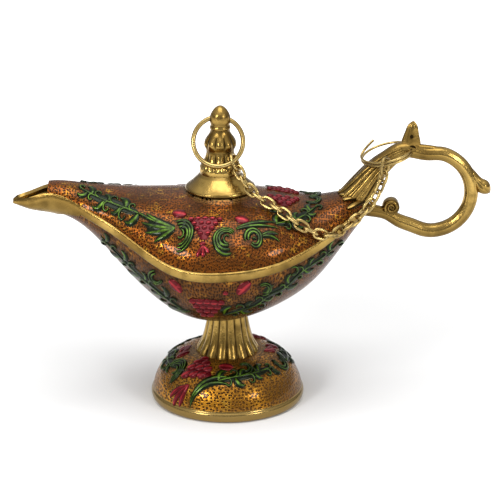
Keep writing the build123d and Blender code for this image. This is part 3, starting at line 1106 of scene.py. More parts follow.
@dataclass(frozen=True)
class LidShape:
    """Lid cap, finial and the ring in the finial's head."""

    axis_x: float = -1.7
    plug: tuple[Pair, ...] = (
        (POLE_RADIUS, 61.3), (6.0, 61.3), (6.0, 54.2), (7.2, 54.2), (7.2, 58.8), (8.5, 58.74))
    skirt: tuple[Pair, ...] = (
        (8.6, 58.72), (9.1, 58.76), (9.3, 59.02), (9.24, 59.45), (8.5, 60.15), (7.4, 61.1),
        (6.4, 62.05), (5.75, 62.75), (5.4, 63.2))
    skirt_rows: int = 46
    cap_sides: int = 128
    cap_top_rows: int = 8
    finial_radii: tuple[Pair, ...] = (
        (62.6, 5.3), (63.1, 5.4), (64.7, 5.4), (65.2, 5.2), (65.7, 4.95), (66.4, 4.5),
        (67.3, 4.05), (68.2, 3.8), (69.0, 3.7), (69.7, 3.8), (70.4, 4.1), (71.0, 4.25),
        (71.8, 4.1), (72.8, 3.55), (73.8, 2.95), (74.5, 2.65), (74.9, 2.6), (75.3, 2.75),
        (75.7, 2.7), (76.1, 2.55), (76.8, 2.66), (77.8, 2.72), (78.7, 2.6), (79.6, 2.22),
        (80.4, 1.65), (81.0, 1.0), (81.3, 0.45))
    finial_top: float = 81.4
    finial_rows: int = 190
    finial_sides: int = 160
    lobes: int = 10
    ridge_level: float = 0.64
    lobe_height: float = 0.09
    petal_height: float = 0.1
    bead_height: float = 0.06
    bulge: Pair = (72.0, 1.7)
    petal_band: Pair = (67.3, 1.3)
    bead_ring: Pair = (65.3, 0.5)
    waists: tuple[Pair, ...] = ((69.1, 0.7), (76.1, 0.3), (74.8, 0.3))
    hole_height: float = 78.0
    hole_shade: Pair = (1.5, 0.9)
    ring_centre: tuple[float, float, float] = (-2.2, -2.70, 72.29)
    ring_radius: float = 6.5
    ring_wire: float = 0.64
    ring_tilt: float = math.radians(24.5)
    ring_points: int = 120
    ring_sides: int = 16

    def cap(self) -> Skin:
        """Cap with a rounded skirt over the neck and a hollow plug inside it, as a turned profile.

        Returns:
            The cap, darkened inside, under its edge and round its top by patina and painted shade;
            the line under its edge is a painted shadow.
        """
        skirt = smooth_path(self.skirt, self.skirt_rows)
        profile = np.concatenate([self.plug, skirt, [(POLE_RADIUS, self.skirt[-1][1])]])
        # Painted shadow under the skirt's edge, painted shade inside and round the top.
        edge = 0.75 * (1 - smooth_step(0.0, 0.2, np.linspace(0, 1, self.skirt_rows)))
        recess = np.concatenate([np.ones(len(self.plug)), edge, [0]])
        recess[-self.cap_top_rows:] = 0.5
        skin = revolve(profile, self.cap_sides, self.axis_x)
        skin.marks[Mark.RECESS] = recess[:, None]
        return skin

    def finial(self) -> Skin:
        """Turned finial with lobes on its bulge, petals on its waist and a ring of beads below.

        The radius is scaled by 1 + a(z) (|cos(n t / 2)| - level), with a(z) one bump at the bulge
        and one at the petals, and by a bump of twice as many beads at the ring.

        Returns:
            The finial, with patina and painted shade between lobes and in its waists, and painted
            shade round its hole.
        """
        heights, radii = np.array(self.finial_radii).T
        z = np.linspace(heights[0], heights[-1], self.finial_rows)
        radius = np.maximum(natural_spline(heights, radii)(z), 0.3)
        profile = np.concatenate([np.stack([radius, z], -1), [(POLE_RADIUS, self.finial_top)]])
        level = profile[:, 1:]
        turn = full_turn(self.finial_sides)
        ridge = np.abs(np.cos(self.lobes * turn / 2)) - self.ridge_level
        fine = np.abs(np.cos(self.lobes * turn)) - self.ridge_level
        bulge, petal = bell(level, *self.bulge, 4), bell(level, *self.petal_band, 4)
        beads = bell(level, *self.bead_ring)
        lobes = 1 + (self.lobe_height * bulge + self.petal_height * petal) * ridge
        lobes = lobes + self.bead_height * beads * fine
        skin = revolve(profile, self.finial_sides, self.axis_x, lobes)
        # Patina and painted shade in waists and between lobes; painted shade round the hole.
        waist = 0.6 * sum(bell(level, *place) for place in self.waists)
        deep = np.clip((bulge + petal) * (0.1 - ridge) * 1.3, 0, 1)
        hole = np.hypot(skin.rings[..., 1], skin.rings[..., 2] - self.hole_height)
        skin.marks[Mark.RECESS] = np.clip(waist + deep + smooth_step(*self.hole_shade, hole), 0, 1)
        return skin

    def ring(self) -> Skin:
        """Wire ring C + R (X cos t + (A x X) sin t), round an axis A that leans to the viewer.

        Returns:
            The ring's skin.
        """
        turn = full_turn(self.ring_points)[:, None]
        axis = np.array([0, -math.cos(self.ring_tilt), math.sin(self.ring_tilt)])
        circle = np.cos(turn) * LENGTHWISE + np.sin(turn) * np.cross(axis, LENGTHWISE)
        path = np.array(self.ring_centre) + self.ring_radius * circle
        return sweep(path, axis, self.ring_wire, self.ring_wire, self.ring_sides, closed=True)

    def build(self, palette: Palette) -> None:
        """Makes and dresses cap, finial and ring.

        Args:
            palette: all finishes.
        """
        make_piece("lid_skirt", [self.cap()], palette.brass, Body.LID, ["lid_cap"])
        make_piece("acorn_finial", [self.finial()], palette.brass, Body.LID,
                   ["lid_finial"])
        make_piece("finial_ring", [self.ring()], palette.wire, Body.LID_RING,
                   ["lid_ring"])


@dataclass(frozen=True)
class HandleShape:
    """Scrolled ring handle with thumb leaf and bud, and the split ring in its eye."""

    hull: Hull
    lower_arm: tuple[Station, ...] = (
        (34.6, 53.4, 1.9), (38.6, 52.6, 1.7), (42.4, 51.6, 1.6), (45.4, 49.9, 1.8))
    ring_centre: Pair = (54.1, 57.8)
    ring_half: Pair = (10.4, 10.7)
    ring_span: Pair = (-120.0, 100.0)
    ring_wire: float = 1.9
    arm: tuple[Station, ...] = (
        (46.4, 69.3, 2.2), (42.5, 66.9, 2.5), (38.6, 63.0, 3.0), (35.4, 58.6, 3.5),
        (32.6, 55.0, 3.7))
    loop_grooves: tuple[float, ...] = (62.0, 118.0, 242.0, 298.0)
    loop_groove_depth: float = 0.045
    loop_rows: int = 170
    side_arm: tuple[Station, ...] = (
        (49.2, 69.9, 1.2), (52.4, 69.6, 1.15), (55.2, 69.1, 1.15), (57.7, 68.1, 1.2),
        (61.5, 65.4, 1.3), (65.0, 61.9, 1.35), (66.4, 60.4, 1.5), (67.3, 59.5, 1.95),
        (68.3, 58.6, 1.7), (69.1, 57.9, 0.9), (69.5, 57.6, 0.2))
    bud_grooves: tuple[float, ...] = (20.0, 90.0, 160.0, 270.0)
    bud_groove_depth: float = 0.12
    bud_rows: int = 70
    groove_width: float = 0.2
    scroll: Pair = (43.5, 53.9)
    scroll_radius: float = 2.5
    scroll_start: float = math.radians(-150.0)
    scroll_turns: float = 1.75
    scroll_inset: float = 0.75
    scroll_shrink: float = 0.78
    scroll_rows: int = 90
    web_radius: float = 2.1
    web_levels: Station = (-1.5, 0.0, 1.5)
    web_shade: float = 0.6
    leaf_x: float = 48.2
    leaf_lean: float = 0.6
    leaf_span: Pair = (68.6, 77.1)
    leaf_shares: tuple[float, ...] = (0.0, 0.2, 0.45, 0.7, 0.9, 1.0)
    leaf_widths: tuple[float, ...] = (1.9, 2.6, 2.35, 1.75, 1.1, 0.3)
    piercings: tuple[tuple[Station, float], ...] = (
        ((48.5, 69.9, 1.05), 1.72), ((48.3, 73.2, 0.5), 1.45))
    vein_angles: tuple[float, ...] = (-70.0, -42.0, -14.0, 14.0, 42.0, 70.0)
    root_start: float = 36.0
    root_lobes: tuple[Pair, ...] = (
        (-6.2, 31.6), (-4.2, 30.4), (-2.0, 29.6), (0.0, 29.2), (2.0, 29.6), (4.2, 30.4),
        (6.2, 31.6))
    eye: Pair = (48.5, 69.9)
    split_radius: float = 6.7
    split_wire: float = 0.34
    split_rows: int = 150
    spring_rows: int = 26
    split_pitch: float = 0.85
    split_turns: float = 1.5
    split_tilt: float = math.radians(14.0)
    split_lean: float = math.radians(6.0)
    spring_bend: Station = (-6.7, 2.7, 0.95)
    spring_tip: Station = (-2.5, 3.0, 3.4)

    @staticmethod
    def _upright(points: Array) -> Array:
        """Points in the handle's plane as points in space."""
        return np.stack([points[:, 0], np.zeros(len(points)), points[:, 1]], -1)

    def _strand(self, stations: Sequence[Station], count: int, grooves: Sequence[float],
                depth: float) -> Skin:
        """Carved strand: a tube whose radius dips by a narrow bell at each groove's angle.

        Args:
            stations: x, z and radius along the strand.
            count: rings along it.
            grooves: angles in degrees of the carved lines round the section.
            depth: share of the radius that a line takes.

        Returns:
            The strand's skin.
        """
        sides = 40
        path = smooth_path(stations, count)
        away = full_turn(sides)[None] - np.radians(grooves)[:, None]
        away = np.abs((away + np.pi) % (2 * np.pi) - np.pi)
        cut = bell(away, 0.0, self.groove_width).max(0)
        radius = np.maximum(path[:, 2], 0.12)
        shape = np.broadcast_to(1 - depth * cut, (count, sides))
        skin = sweep(self._upright(path), CROSSWISE, radius, 1.05 * radius, sides, shape=shape)
        # Patina and painted shade in the carved lines.
        skin.marks[Mark.RECESS] = np.broadcast_to(cut * 0.5, (count, sides))
        return skin

    @staticmethod
    def _peg(x: float, z: float, levels: Sequence[float], radius: float, sides: int,
             film_and_shade: float) -> Skin:
        """Short round peg across the handle, dark all over as painted shade in a hole or gap.

        Args:
            x: place of its axis along the lamp.
            z: height of its axis.
            levels: three places along the axis.
            radius: its radius.
            sides: points round it.
            film_and_shade: how dark its painted shade is.

        Returns:
            The peg's skin.
        """
        peg = sweep(np.array([[x, y, z] for y in levels]), UPWARDS, radius, radius, sides)
        peg.marks[Mark.RECESS] = np.full((len(levels), sides), film_and_shade)
        return peg

    def loop(self) -> Skin:
        """Main strand from the lower arm round the finger loop and down the upper arm.

        Returns:
            The strand's skin.
        """
        turn = np.radians(np.linspace(*self.ring_span, 11))
        x = self.ring_centre[0] + self.ring_half[0] * np.cos(turn)
        z = self.ring_centre[1] + self.ring_half[1] * np.sin(turn)
        ring = np.stack([x, z, np.full(len(turn), self.ring_wire)], -1)
        stations = np.concatenate([self.lower_arm, ring, self.arm])
        return self._strand(stations, self.loop_rows, self.loop_grooves, self.loop_groove_depth)

    def bud(self) -> Skin:
        """Side strand that leaves the loop at its top and ends in a bud."""
        return self._strand(self.side_arm, self.bud_rows, self.bud_grooves, self.bud_groove_depth)

    def volute(self) -> Skin:
        """Scroll eye: a spiral strand r = R (1 - k s), wound back through its turns.

        Returns:
            The spiral's skin.
        """
        share = np.linspace(0, 1, self.scroll_rows)
        turn = self.scroll_start - share * self.scroll_turns * 2 * np.pi
        reach = (self.scroll_radius - self.scroll_inset) * (1 - self.scroll_shrink * share)
        spiral = np.stack([np.cos(turn), np.sin(turn)], -1)
        path = self._upright(np.array(self.scroll) + reach[:, None] * spiral)
        return sweep(path, CROSSWISE, 0.85 - 0.35 * share, 2.0 + 0.3 * share, 24)

    def core(self) -> Skin:
        """Web behind the spiral, dark as painted shade between its turns."""
        return self._peg(*self.scroll, self.web_levels, self.web_radius, 28, self.web_shade)

    def leaf(self) -> list[Skin]:
        """Thumb leaf: a tapered blade with a midrib between two grooves, with two piercings painted
        as dark spots.

        Returns:
            The blade, and dark pegs on both sides that paint the shade of its piercings.
        """
        count, sides = 40, 36
        share = np.linspace(0, 1, count)
        z = self.leaf_span[0] + (self.leaf_span[1] - self.leaf_span[0]) * share
        width = natural_spline(self.leaf_shares, self.leaf_widths)(share)
        path = self._upright(np.stack([self.leaf_x + self.leaf_lean * share ** 2, z], -1))
        groove = 0.2 * bell(np.abs(np.sin(full_turn(sides))), 0.75, 0.16)
        shape = np.broadcast_to(1 - groove, (count, sides))
        blade = sweep(path, CROSSWISE, width, 0.6 * width, sides, shape=shape)
        # Patina and painted shade in the grooves.
        blade.marks[Mark.RECESS] = np.broadcast_to(groove * 1.3, (count, sides))
        piercing_shades = [self._peg(x, height, (side * 0.6, side * 1.2, side * depth), size, 20, 1.0)
                 for side in SIDES for (x, height, size), depth in self.piercings]
        return [blade, *piercing_shades]

    def veins(self) -> list[Skin]:
        """Acanthus ribs on the upper arm: P + r (Y cos f + N sin f), f opening towards the root.

        Returns:
            The ribs of both sides.
        """
        count, sides = 48, 16
        path = smooth_path(self.arm, count)
        share = np.linspace(0, 1, count)
        along = unit(np.gradient(path[:, :2], axis=0))
        middle = self._upright(path)
        above = self._upright(np.stack([-along[:, 1], along[:, 0]], -1))
        width = (0.3 + 0.62 * share) * np.sqrt(np.clip(1 - (2 * share - 1) ** 8, 0.01, 1))
        # Patina and painted shade along the ribs' sides.
        film_and_shade = np.broadcast_to(0.9 * np.abs(np.cos(full_turn(sides))) ** 3, (count, sides))
        skins = []
        for side in SIDES:
            for start in np.radians(self.vein_angles):
                tilt = (start * (0.45 + 0.75 * share))[:, None]
                out = np.cos(tilt) * side * CROSSWISE + np.sin(tilt) * above
                rib_path = middle + 0.97 * path[:, 2:] * out
                rib = sweep(rib_path, out, width, 0.32 + 0.3 * share, sides)
                rib.marks[Mark.RECESS] = film_and_shade
                skins.append(rib)
        return skins

    def root(self) -> list[Skin]:
        """Leaf lobes that lie on the hull's height and grip the tail under the upper arm.

        Returns:
            One skin for each lobe.
        """
        count, sides = 26, 20
        share = np.linspace(0, 1, count)
        width = 1.5 * np.sqrt(np.clip(1 - share ** 3, 0.003, 1)) * (0.75 + 0.35 * share)
        # Patina and painted shade along the lobes' sides.
        film_and_shade = np.broadcast_to(np.abs(np.cos(full_turn(sides))) ** 4, (count, sides))
        skins = []
        for offset, reach in self.root_lobes:
            x = self.root_start + (reach - self.root_start) * share
            y = offset * (0.3 + 0.75 * share)
            path = np.stack([x, y, self.hull.upper(x, y) + 0.1], -1)
            lobe = sweep(path, UPWARDS, width, 0.3 + 0.5 * width * (1 - 0.6 * share), sides)
            lobe.marks[Mark.RECESS] = film_and_shade
            skins.append(lobe)
        return skins

    def split_ring(self) -> Skin:
        """Wire wound one and a half turns as a helix, with its upper end sprung open in a bow.

        Returns:
            The ring's skin.
        """
        lean_x = np.array([math.cos(self.split_tilt), 0, math.sin(self.split_tilt)])
        lean_z = unit(np.array([-math.sin(self.split_tilt), -math.sin(self.split_lean),
                                math.cos(self.split_tilt)]))
        lean_y = np.cross(lean_z, lean_x)
        centre = np.array([self.eye[0], 0, self.eye[1]]) - self.split_radius * lean_x
        share = np.linspace(0, 1, self.split_rows)
        turn = share * self.split_turns * 2 * np.pi
        rise = (share - 0.5) * self.split_pitch * self.split_turns
        x, y = self.split_radius * np.cos(turn), -self.split_radius * np.sin(turn)
        wound = np.stack([x, y, rise], -1)
        bend, tip = np.array(self.spring_bend), np.array(self.spring_tip)
        sprung = bow_through(wound[-1], bend, tip, self.spring_rows)
        local = np.concatenate([wound, sprung[1:]])
        path = centre + local @ np.stack([lean_x, lean_y, lean_z])
        return sweep(path, lean_z, self.split_wire, self.split_wire, WIRE_SIDES)

    def build(self, palette: Palette) -> None:
        """Makes and dresses handle and split ring.

        Args:
            palette: all finishes.
        """
        parts = [self.loop(), self.bud(), self.volute(), self.core(), *self.leaf(),
                 *self.veins(), *self.root()]
        make_piece("scroll_handle", parts, palette.brass, Body.LAMP, ["handle"])
        make_piece("sprung_ring", [self.split_ring()], palette.wire, Body.SPLIT_RING,
                   ["handle_ring"])


@dataclass(frozen=True)
class ChainShape:
    """Fine chain: one rounded wire loop in the place of each link of the frame."""

    links: int = 22
    wire: float = 0.39
    roundness: float = 0.72
    loop_points: int = 48

    def link(self, node: str) -> Skin:
        """Wire loop a = L sgn(cos) |cos|^q, b = W sgn(sin) |sin|^q in the link's own plane.

        Args:
            node: node of the frame, whose vertices give centre, axes and size.

        Returns:
            The loop's skin.
        """
        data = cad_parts[node].data
        flat = np.empty(len(data.vertices) * 3, np.float32)
        data.vertices.foreach_get("co", flat)
        points = flat.reshape(-1, 3).astype(float) / MM
        centre = (points.min(0) + points.max(0)) / 2
        axes = np.linalg.svd(points - points.mean(0), full_matrices=False)[2]
        reach = np.abs((points - centre) @ axes.T).max(0)
        turn = full_turn(self.loop_points)
        circle = np.stack([np.cos(turn), np.sin(turn)], -1)
        loop = (reach[:2] - self.wire) * np.sign(circle) * np.abs(circle) ** self.roundness
        path = centre + loop @ axes[:2]
        return sweep(path, axes[2], self.wire, self.wire, WIRE_SIDES, closed=True)

    def build(self, palette: Palette) -> None:
        """Makes and dresses every link.

        Args:
            palette: all finishes.
        """
        for number in range(1, self.links + 1):
            node = f"chain_link_{number:02d}"
            make_piece(f"wire_link_{number:02d}", [self.link(node)], palette.wire,
                       f"link {number:02d}", [node])


class Taper(Enum):
    """How a stroke's width runs from its start to its end."""

    LEAF = "leaf"
    STEM = "stem"
    DROP = "drop"
    BEAD = "bead"
    FAN = "fan"

    def width(self, share: Array) -> Array:
        """Share of the full width: a power law on s, cut by rounded ends sqrt(1 - s^n).

        Args:
            share: places from the start at 0 to the end at 1.

        Returns:
            The share of the width at each place.
        """
        middle = 2 * share - 1
        if self is Taper.STEM:
            return np.sqrt(np.clip(1 - middle ** 8, 0.004, 1)) * (1 - 0.45 * share)
        if self is Taper.BEAD:
            return np.sqrt(np.clip(1 - middle ** 2, 0.004, 1))
        if self is Taper.LEAF:
            width = 1.75 * share ** 0.55 * (1 - share) ** 0.75
        elif self is Taper.FAN:
            width = (0.2 + 0.8 * share) * np.sqrt(1 - share ** 24)
        else:
            width = (0.25 + 0.75 * share ** 0.8) * np.sqrt(1 - share ** 6)
        return np.clip(width, 0.05, 1)


@dataclass(frozen=True)
class Stroke:
    """One bowed stroke, or a bundle of them that fans out.

    Attributes:
        start: where it starts, in the chart's millimetres.
        end: where it ends.
        bow: how far its middle is pushed to the left.
        width: half width at its widest.
        taper: how the width runs.
        strands: number of strokes side by side.
        spread: distance between neighbours at the end.
        height: how far its crown stands up.
    """

    start: Pair
    end: Pair
    bow: float = 0.0
    width: float = 0.8
    taper: Taper = Taper.LEAF
    strands: int = 1
    spread: float = 0.0
    height: float = 0.5

    def paths(self) -> list[Array]:
        """Centre lines in the chart, as bowed curves.

        Returns:
            One line of points per strand.
        """
        count = 28
        first, last = np.array(self.start), np.array(self.end)
        left = left_of(unit(last - first))
        line = bow_through(first, (first + last) / 2 + 2 * self.bow * left, last, count)
        opening = np.linspace(0.2, 1, count)[:, None]
        return [line + left * offset * opening
                for offset in side_by_side(self.strands, self.spread)]


@dataclass(frozen=True)
class Curl:
    """One scroll: r = R (1 - k s), turned from a starting angle.

    Attributes:
        centre: middle of the scroll in the chart.
        radius: radius at its start.
        start: starting angle in degrees.
        turn: angle that it runs through in degrees.
        width: half width at its start.
        shrink: share of the radius lost along it.
        squash: factor on the chart's second direction.
        taper: how the width runs.
        height: how far its crown stands up.
        strands: number of scrolls inside one another.
        spacing: distance between them.
    """

    centre: Pair
    radius: float
    start: float
    turn: float
    width: float = 0.55
    shrink: float = 0.45
    squash: float = 1.0
    taper: Taper = Taper.STEM
    height: float = 0.5
    strands: int = 1
    spacing: float = 0.85

    def paths(self) -> list[Array]:
        """Centre lines in the chart.

        Returns:
            One line of points per strand.
        """
        share = np.linspace(0, 1, 44)
        angle = np.radians(self.start + self.turn * share)
        turn = np.stack([np.cos(angle), np.sin(angle) * self.squash], -1)
        reach = self.radius * (1 - self.shrink * share)
        closing = 1 - 0.5 * share
        return [np.array(self.centre) + (reach + offset * closing)[:, None] * turn
                for offset in side_by_side(self.strands, self.spacing)]


@dataclass(frozen=True)
class Vine:
    """One stroke that runs smoothly through several places."""

    points: tuple[Pair, ...]
    width: float = 0.6
    taper: Taper = Taper.STEM
    height: float = 0.5

    def paths(self) -> list[Array]:
        """Centre line in the chart."""
        return [smooth_path(self.points, 60)]


Figure = Stroke | Curl | Vine
Chart = Callable[[Array], Array]


@dataclass(frozen=True)
class Ornament:
    """Raised enamel figures on one surface, whose chart takes flat places to points in space."""

    name: str
    chart: Chart
    outward: tuple[float, float, float]
    sink: float = 0.4
    full_height: float = 0.5

    def _ribbon(self, figure: Figure, line: Array) -> Skin:
        """One stroke as a rounded ribbon whose flanks run under the surface.

        Args:
            figure: gives width and taper.
            line: centre line in the chart.

        Returns:
            The ribbon's skin.
        """
        sides = 16
        ahead, aside = (self.chart(line + step) - self.chart(line - step)
                        for step in 0.05 * np.eye(2))
        normal = unit(np.cross(ahead, aside))
        normal *= np.sign(normal @ np.array(self.outward))[:, None]
        width = figure.width * figure.taper.width(np.linspace(0, 1, len(line)))
        crown = figure.height * np.sqrt(width / figure.width)
        skin = sweep(self.chart(line), normal, width, crown, sides)
        level = np.sin(full_turn(sides))
        drop = (self.sink - crown)[:, None] * np.where(level < -0.01, -level, 0)
        skin.rings = skin.rings - normal[:, None] * drop[..., None]
        relief = np.clip(level, 0, 1) * min(1.0, figure.height / self.full_height)
        skin.marks[Mark.RELIEF] = np.broadcast_to(relief, (len(line), sides))
        return skin

    def build(self, figures: Sequence[Figure], finish: bpy.types.Material, label: str) -> None:
        """Makes one piece of all figures of one colour.

        Args:
            figures: strokes and scrolls.
            finish: material of the piece.
            label: what the figures are, for the name.
        """
        skins = [self._ribbon(figure, line) for figure in figures for line in figure.paths()]
        make_piece(f"{self.name}_{label}", skins, finish, Body.LAMP)


# Heights in millimetres, angles in degrees and shares of a figure's own size
GROUND_HEIGHT = 0.2
FLOWER_GROUND_HEIGHT = 0.4
FLOWER_EDGE = 0.86
FLOWER_HEM = 0.4
FLOWER_ROUND = 0.15
FLOWER_BEAD = 0.58
FLOWER_BEAD_HEIGHT = 0.75
VINE_WIDTH = 0.45
VINE_GROUND = 0.6
LEAF_SIZES = (1.0, 0.82, 1.08)
LEAF_SHRINK = 0.15
LEAF_AHEAD = 0.8
LEAF_ASIDE = 0.62
LEAF_BOW = 0.3
LEAF_WIDTH = 1.15
CURL_REACH = 0.36
CURL_WIDTH = 0.34
CURL_LEAD = 30.0
CURL_TURN = 300.0


def flower(base: Pair, top: Pair, half_width: float, rows: int) -> list[Figure]:
    """Trumpet flower: a fan-shaped ground under rows of beads that widen from base to top.

    Args:
        base: narrow end.
        top: middle of the wide end.
        half_width: half width of the wide end.
        rows: number of rows of beads.

    Returns:
        The ground and its beads.
    """
    first, last = np.array(base), np.array(top)
    along = unit(last - first)
    left = left_of(along)
    pitch = float(np.linalg.norm(last - first)) / rows
    wide_end = tuple(last + along * pitch * FLOWER_HEM)
    figures: list[Figure] = [Stroke(base, wide_end, 0.0, half_width, Taper.FAN,
                                     height=FLOWER_GROUND_HEIGHT)]
    for row in range(1, rows + 1):
        reach = half_width * row / rows * FLOWER_EDGE
        for place in np.linspace(-reach, reach, row + 1):
            ahead = pitch * (row - FLOWER_ROUND * abs(place) / half_width)
            spot = first + along * ahead + left * place
            figures.append(bead(tuple(spot), FLOWER_BEAD * pitch, FLOWER_BEAD_HEIGHT))
    return figures


def bead(place: Pair, size: float, high: float = 0.5) -> Stroke:
    """Small round bead."""
    start, end = (place[0] - size, place[1]), (place[0] + size, place[1])
    return Stroke(start, end, 0.0, size, Taper.BEAD, height=high)


def petals(base: Pair, tips: Sequence[Pair], width: float) -> list[Figure]:
    """Petals from one base to several tips."""
    return [Stroke(base, tip, width=width, taper=Taper.DROP) for tip in tips]


def garland(points: Sequence[Pair], pairs: int, length: float, width: float) -> list[Figure]:
    """Vine on a low dark ground, with curved leaves and curls on both sides in turn.

    Args:
        points: places that the vine runs through.
        pairs: number of leaf pairs.
        length: length of the first leaves.
        width: half width of the first leaves.

    Returns:
        Ground, vine, leaves and curls.
    """
    vine = Vine(tuple(points), VINE_WIDTH * width)
    line = vine.paths()[0]
    ground = Vine(tuple(points), VINE_GROUND * length, Taper.LEAF, GROUND_HEIGHT)
    figures: list[Figure] = [ground, vine]
    for number in range(2 * pairs):
        index = int((number + 0.4) / (2 * pairs) * (len(line) - 2))
        along = unit(line[index + 1] - line[index])
        left = left_of(along)
        size = (1 - LEAF_SHRINK * number / pairs) * LEAF_SIZES[number % len(LEAF_SIZES)]
        hand = 1 - 2 * (number % 2)
        reach = length * size
        if number % 4 in (1, 2):
            centre = line[index] + CURL_REACH * reach * (along + hand * left)
            start = np.degrees(np.arctan2(-hand * left[1], -hand * left[0])) - CURL_LEAD * hand
            figures.append(Curl(tuple(centre), CURL_REACH * reach, start, CURL_TURN * hand,
                                CURL_WIDTH * width, 0.5))
        else:
            tip = line[index] + reach * (LEAF_AHEAD * along + LEAF_ASIDE * hand * left)
            figures.append(Stroke(tuple(line[index]), tuple(tip), LEAF_BOW * hand * reach,
                                  LEAF_WIDTH * width * size))
    return figures


def fan(root: Pair, tips: Sequence[Pair], bow: float, width: float) -> list[Figure]:
    """Leaves from one root to several tips on a low dark ground.

    Args:
        root: where the leaves start.
        tips: where they end.
        bow: how far each leaf is pushed to the left.
        width: half width of each leaf.

    Returns:
        Ground and leaves.
    """
    middle = tuple(np.mean(np.array(tips), 0))
    half_width = math.dist(tips[0], tips[-1]) / 2
    ground = Stroke(root, middle, 0.0, half_width, Taper.DROP, height=GROUND_HEIGHT)
    return [ground, *(Stroke(root, tip, bow, width) for tip in tips)]


@dataclass(frozen=True)
class Decoration:
    """Traditional scrolls and flowers on shell, bowl and foot, the same on both sides."""

    hull: Hull
    foot: FootShape
    pooled_shade_reach: float = 1.5

    def pool(self, skin: Skin, chart_of: Callable[[float], Chart],
             figures: Sequence[Figure]) -> None:
        """Marks dark pooled enamel and painted shade round the strokes: exp(-(d / reach)^2) at the
        distance d to the nearest line.

        Args:
            skin: surface that gets the mark.
            chart_of: gives the chart of each side.
            figures: strokes and scrolls on the surface.
        """
        flat = np.concatenate([line[::6] for figure in figures for line in figure.paths()])
        lines = np.concatenate([chart_of(side)(flat) for side in SIDES])
        spread = (lines ** 2).sum(-1)
        nearest = np.stack([(spread - 2 * ring @ lines.T).min(1) + (ring ** 2).sum(-1)
                            for ring in skin.rings])
        skin.marks[Mark.POOLED_SHADE] = np.exp(-nearest.clip(0) / self.pooled_shade_reach ** 2)

    def upper_chart(self, side: float) -> Chart:
        """Plan places on the upper shell; side -1 is the near one."""
        return lambda flat: np.stack([flat[:, 0], -side * flat[:, 1],
                                      self.hull.upper(flat[:, 0], flat[:, 1])], -1)

    def bowl_chart(self, side: float) -> Chart:
        """Places seen from the side, x and z, on the bowl."""
        return lambda flat: np.stack([flat[:, 0], side * self.hull.flank(flat[:, 0], flat[:, 1]),
                                      flat[:, 1]], -1)

    def foot_chart(self, side: float) -> Chart:
        """Plan places on the foot; the far side is the near one turned half round."""
        return lambda flat: np.stack([-side * flat[:, 0], -side * flat[:, 1],
                                      self.foot.height(flat[:, 0], flat[:, 1])], -1)

    @staticmethod
    def upper_scrolls() -> list[Figure]:
        """Green scrolls and leaves of the upper shell.

        Returns:
            The figures, in plan.
        """
        return [
            Curl((-11.6, -17.6), 2.4, 115, -235, 0.72, 0.1, strands=3),
            Curl((-11.8, -17.6), 1.0, 90, -250, 0.5, 0.4),
            *fan((-13.2, -16.0), [(-20.8, -11.2), (-22.0, -13.0), (-21.0, -15.0), (-18.6, -17.0)],
                 0.4, 1.55),
            Vine(((-22.8, -10.8), (-18.4, -13.6), (-13.6, -15.6)), 0.7),
            *garland([(-22.6, -11.0), (-28.8, -7.9), (-33.6, -5.6), (-38.6, -2.8)], 7, 3.7, 1.5),
            Curl((0.0, -19.8), 2.5, -65, -255, 0.72, 0.06, 0.8, strands=3),
            Curl((0.2, -19.8), 1.0, -60, -270, 0.5, 0.4),
            Stroke((2.4, -17.6), (13.4, -15.0), 0.6, 1.0, strands=2, spread=1.5),
            Curl((7.2, -19.3), 2.0, 200, -330, 0.75, 0.4, strands=2),
            bead((7.2, -19.3), 0.6),
            Stroke((9.0, -18.6), (13.6, -17.8), 0.5, 1.0, strands=2, spread=1.3),
            *garland([(12.6, -14.8), (17.0, -12.6), (20.4, -9.6), (23.6, -5.6)], 5, 3.6, 1.45),
            Curl((22.4, -2.4), 2.0, 110, -260, 0.55, 0.15, strands=2),
            Stroke((13.6, -10.6), (10.6, -8.2), 0.5, 1.0, strands=2, spread=1.5),
        ]

    @staticmethod
    def upper_flowers() -> list[Figure]:
        """Pink flowers, drops and beads of the upper shell.

        Returns:
            The figures, in plan.
        """
        return [
            *flower((-5.8, -19.6), (-5.4, -14.5), 4.3, 4),
            bead((-6.0, -20.3), 0.8),
            *petals((-5.9, -20.6), [(-7.5, -21.9), (-5.9, -22.2), (-4.4, -21.9)], 0.85),
            Stroke((-14.0, -11.9), (-10.4, -12.9), 0.15, 1.5, Taper.BEAD),
            Stroke((2.2, -14.5), (5.8, -15.4), 0.15, 1.5, Taper.BEAD),
            *flower((15.2, -7.6), (14.8, -2.8), 4.0, 3),
        ]

    @staticmethod
    def bowl_scrolls() -> list[Figure]:
        """Green scrolls and leaves of the bowl.

        Returns:
            The figures, as seen from the side.
        """
        return [
            *garland([(-11.4, 31.0), (-15.0, 33.6), (-19.5, 36.8), (-26.0, 41.6), (-33.0, 48.2)],
                     8, 3.6, 1.4),
            Curl((-18.0, 40.0), 1.8, 100, 250, 0.5, 0.3, strands=2),
            *fan((-9.6, 30.6), [(-15.4, 29.6), (-15.2, 31.4)], 0.4, 1.1),
            *garland([(-0.8, 30.0), (3.4, 31.8), (7.7, 33.4), (11.0, 36.2), (14.4, 37.4),
                      (19.1, 41.2), (23.8, 43.4), (30.0, 47.4)], 11, 3.4, 1.4),
            Curl((9.6, 38.6), 1.7, -100, 240, 0.5, 0.3, strands=2),
            Curl((17.2, 42.4), 1.3, -110, 240, 0.5, 0.3),
        ]

    @staticmethod
    def bowl_flowers() -> list[Figure]:
        """Pink flowers and drops of the bowl.

        Returns:
            The figures, as seen from the side.
        """
        return [
            *flower((-5.0, 28.6), (-5.0, 35.0), 4.3, 4),
            Stroke((-14.8, 40.2), (-11.6, 37.0), 0.2, 1.5, Taper.BEAD),
            bead((-12.4, 38.9), 0.75),
            Stroke((6.3, 40.8), (2.9, 37.2), -0.2, 1.5, Taper.BEAD),
            bead((3.6, 39.1), 0.75),
            bead((-0.2, 37.8), 0.7),
        ]

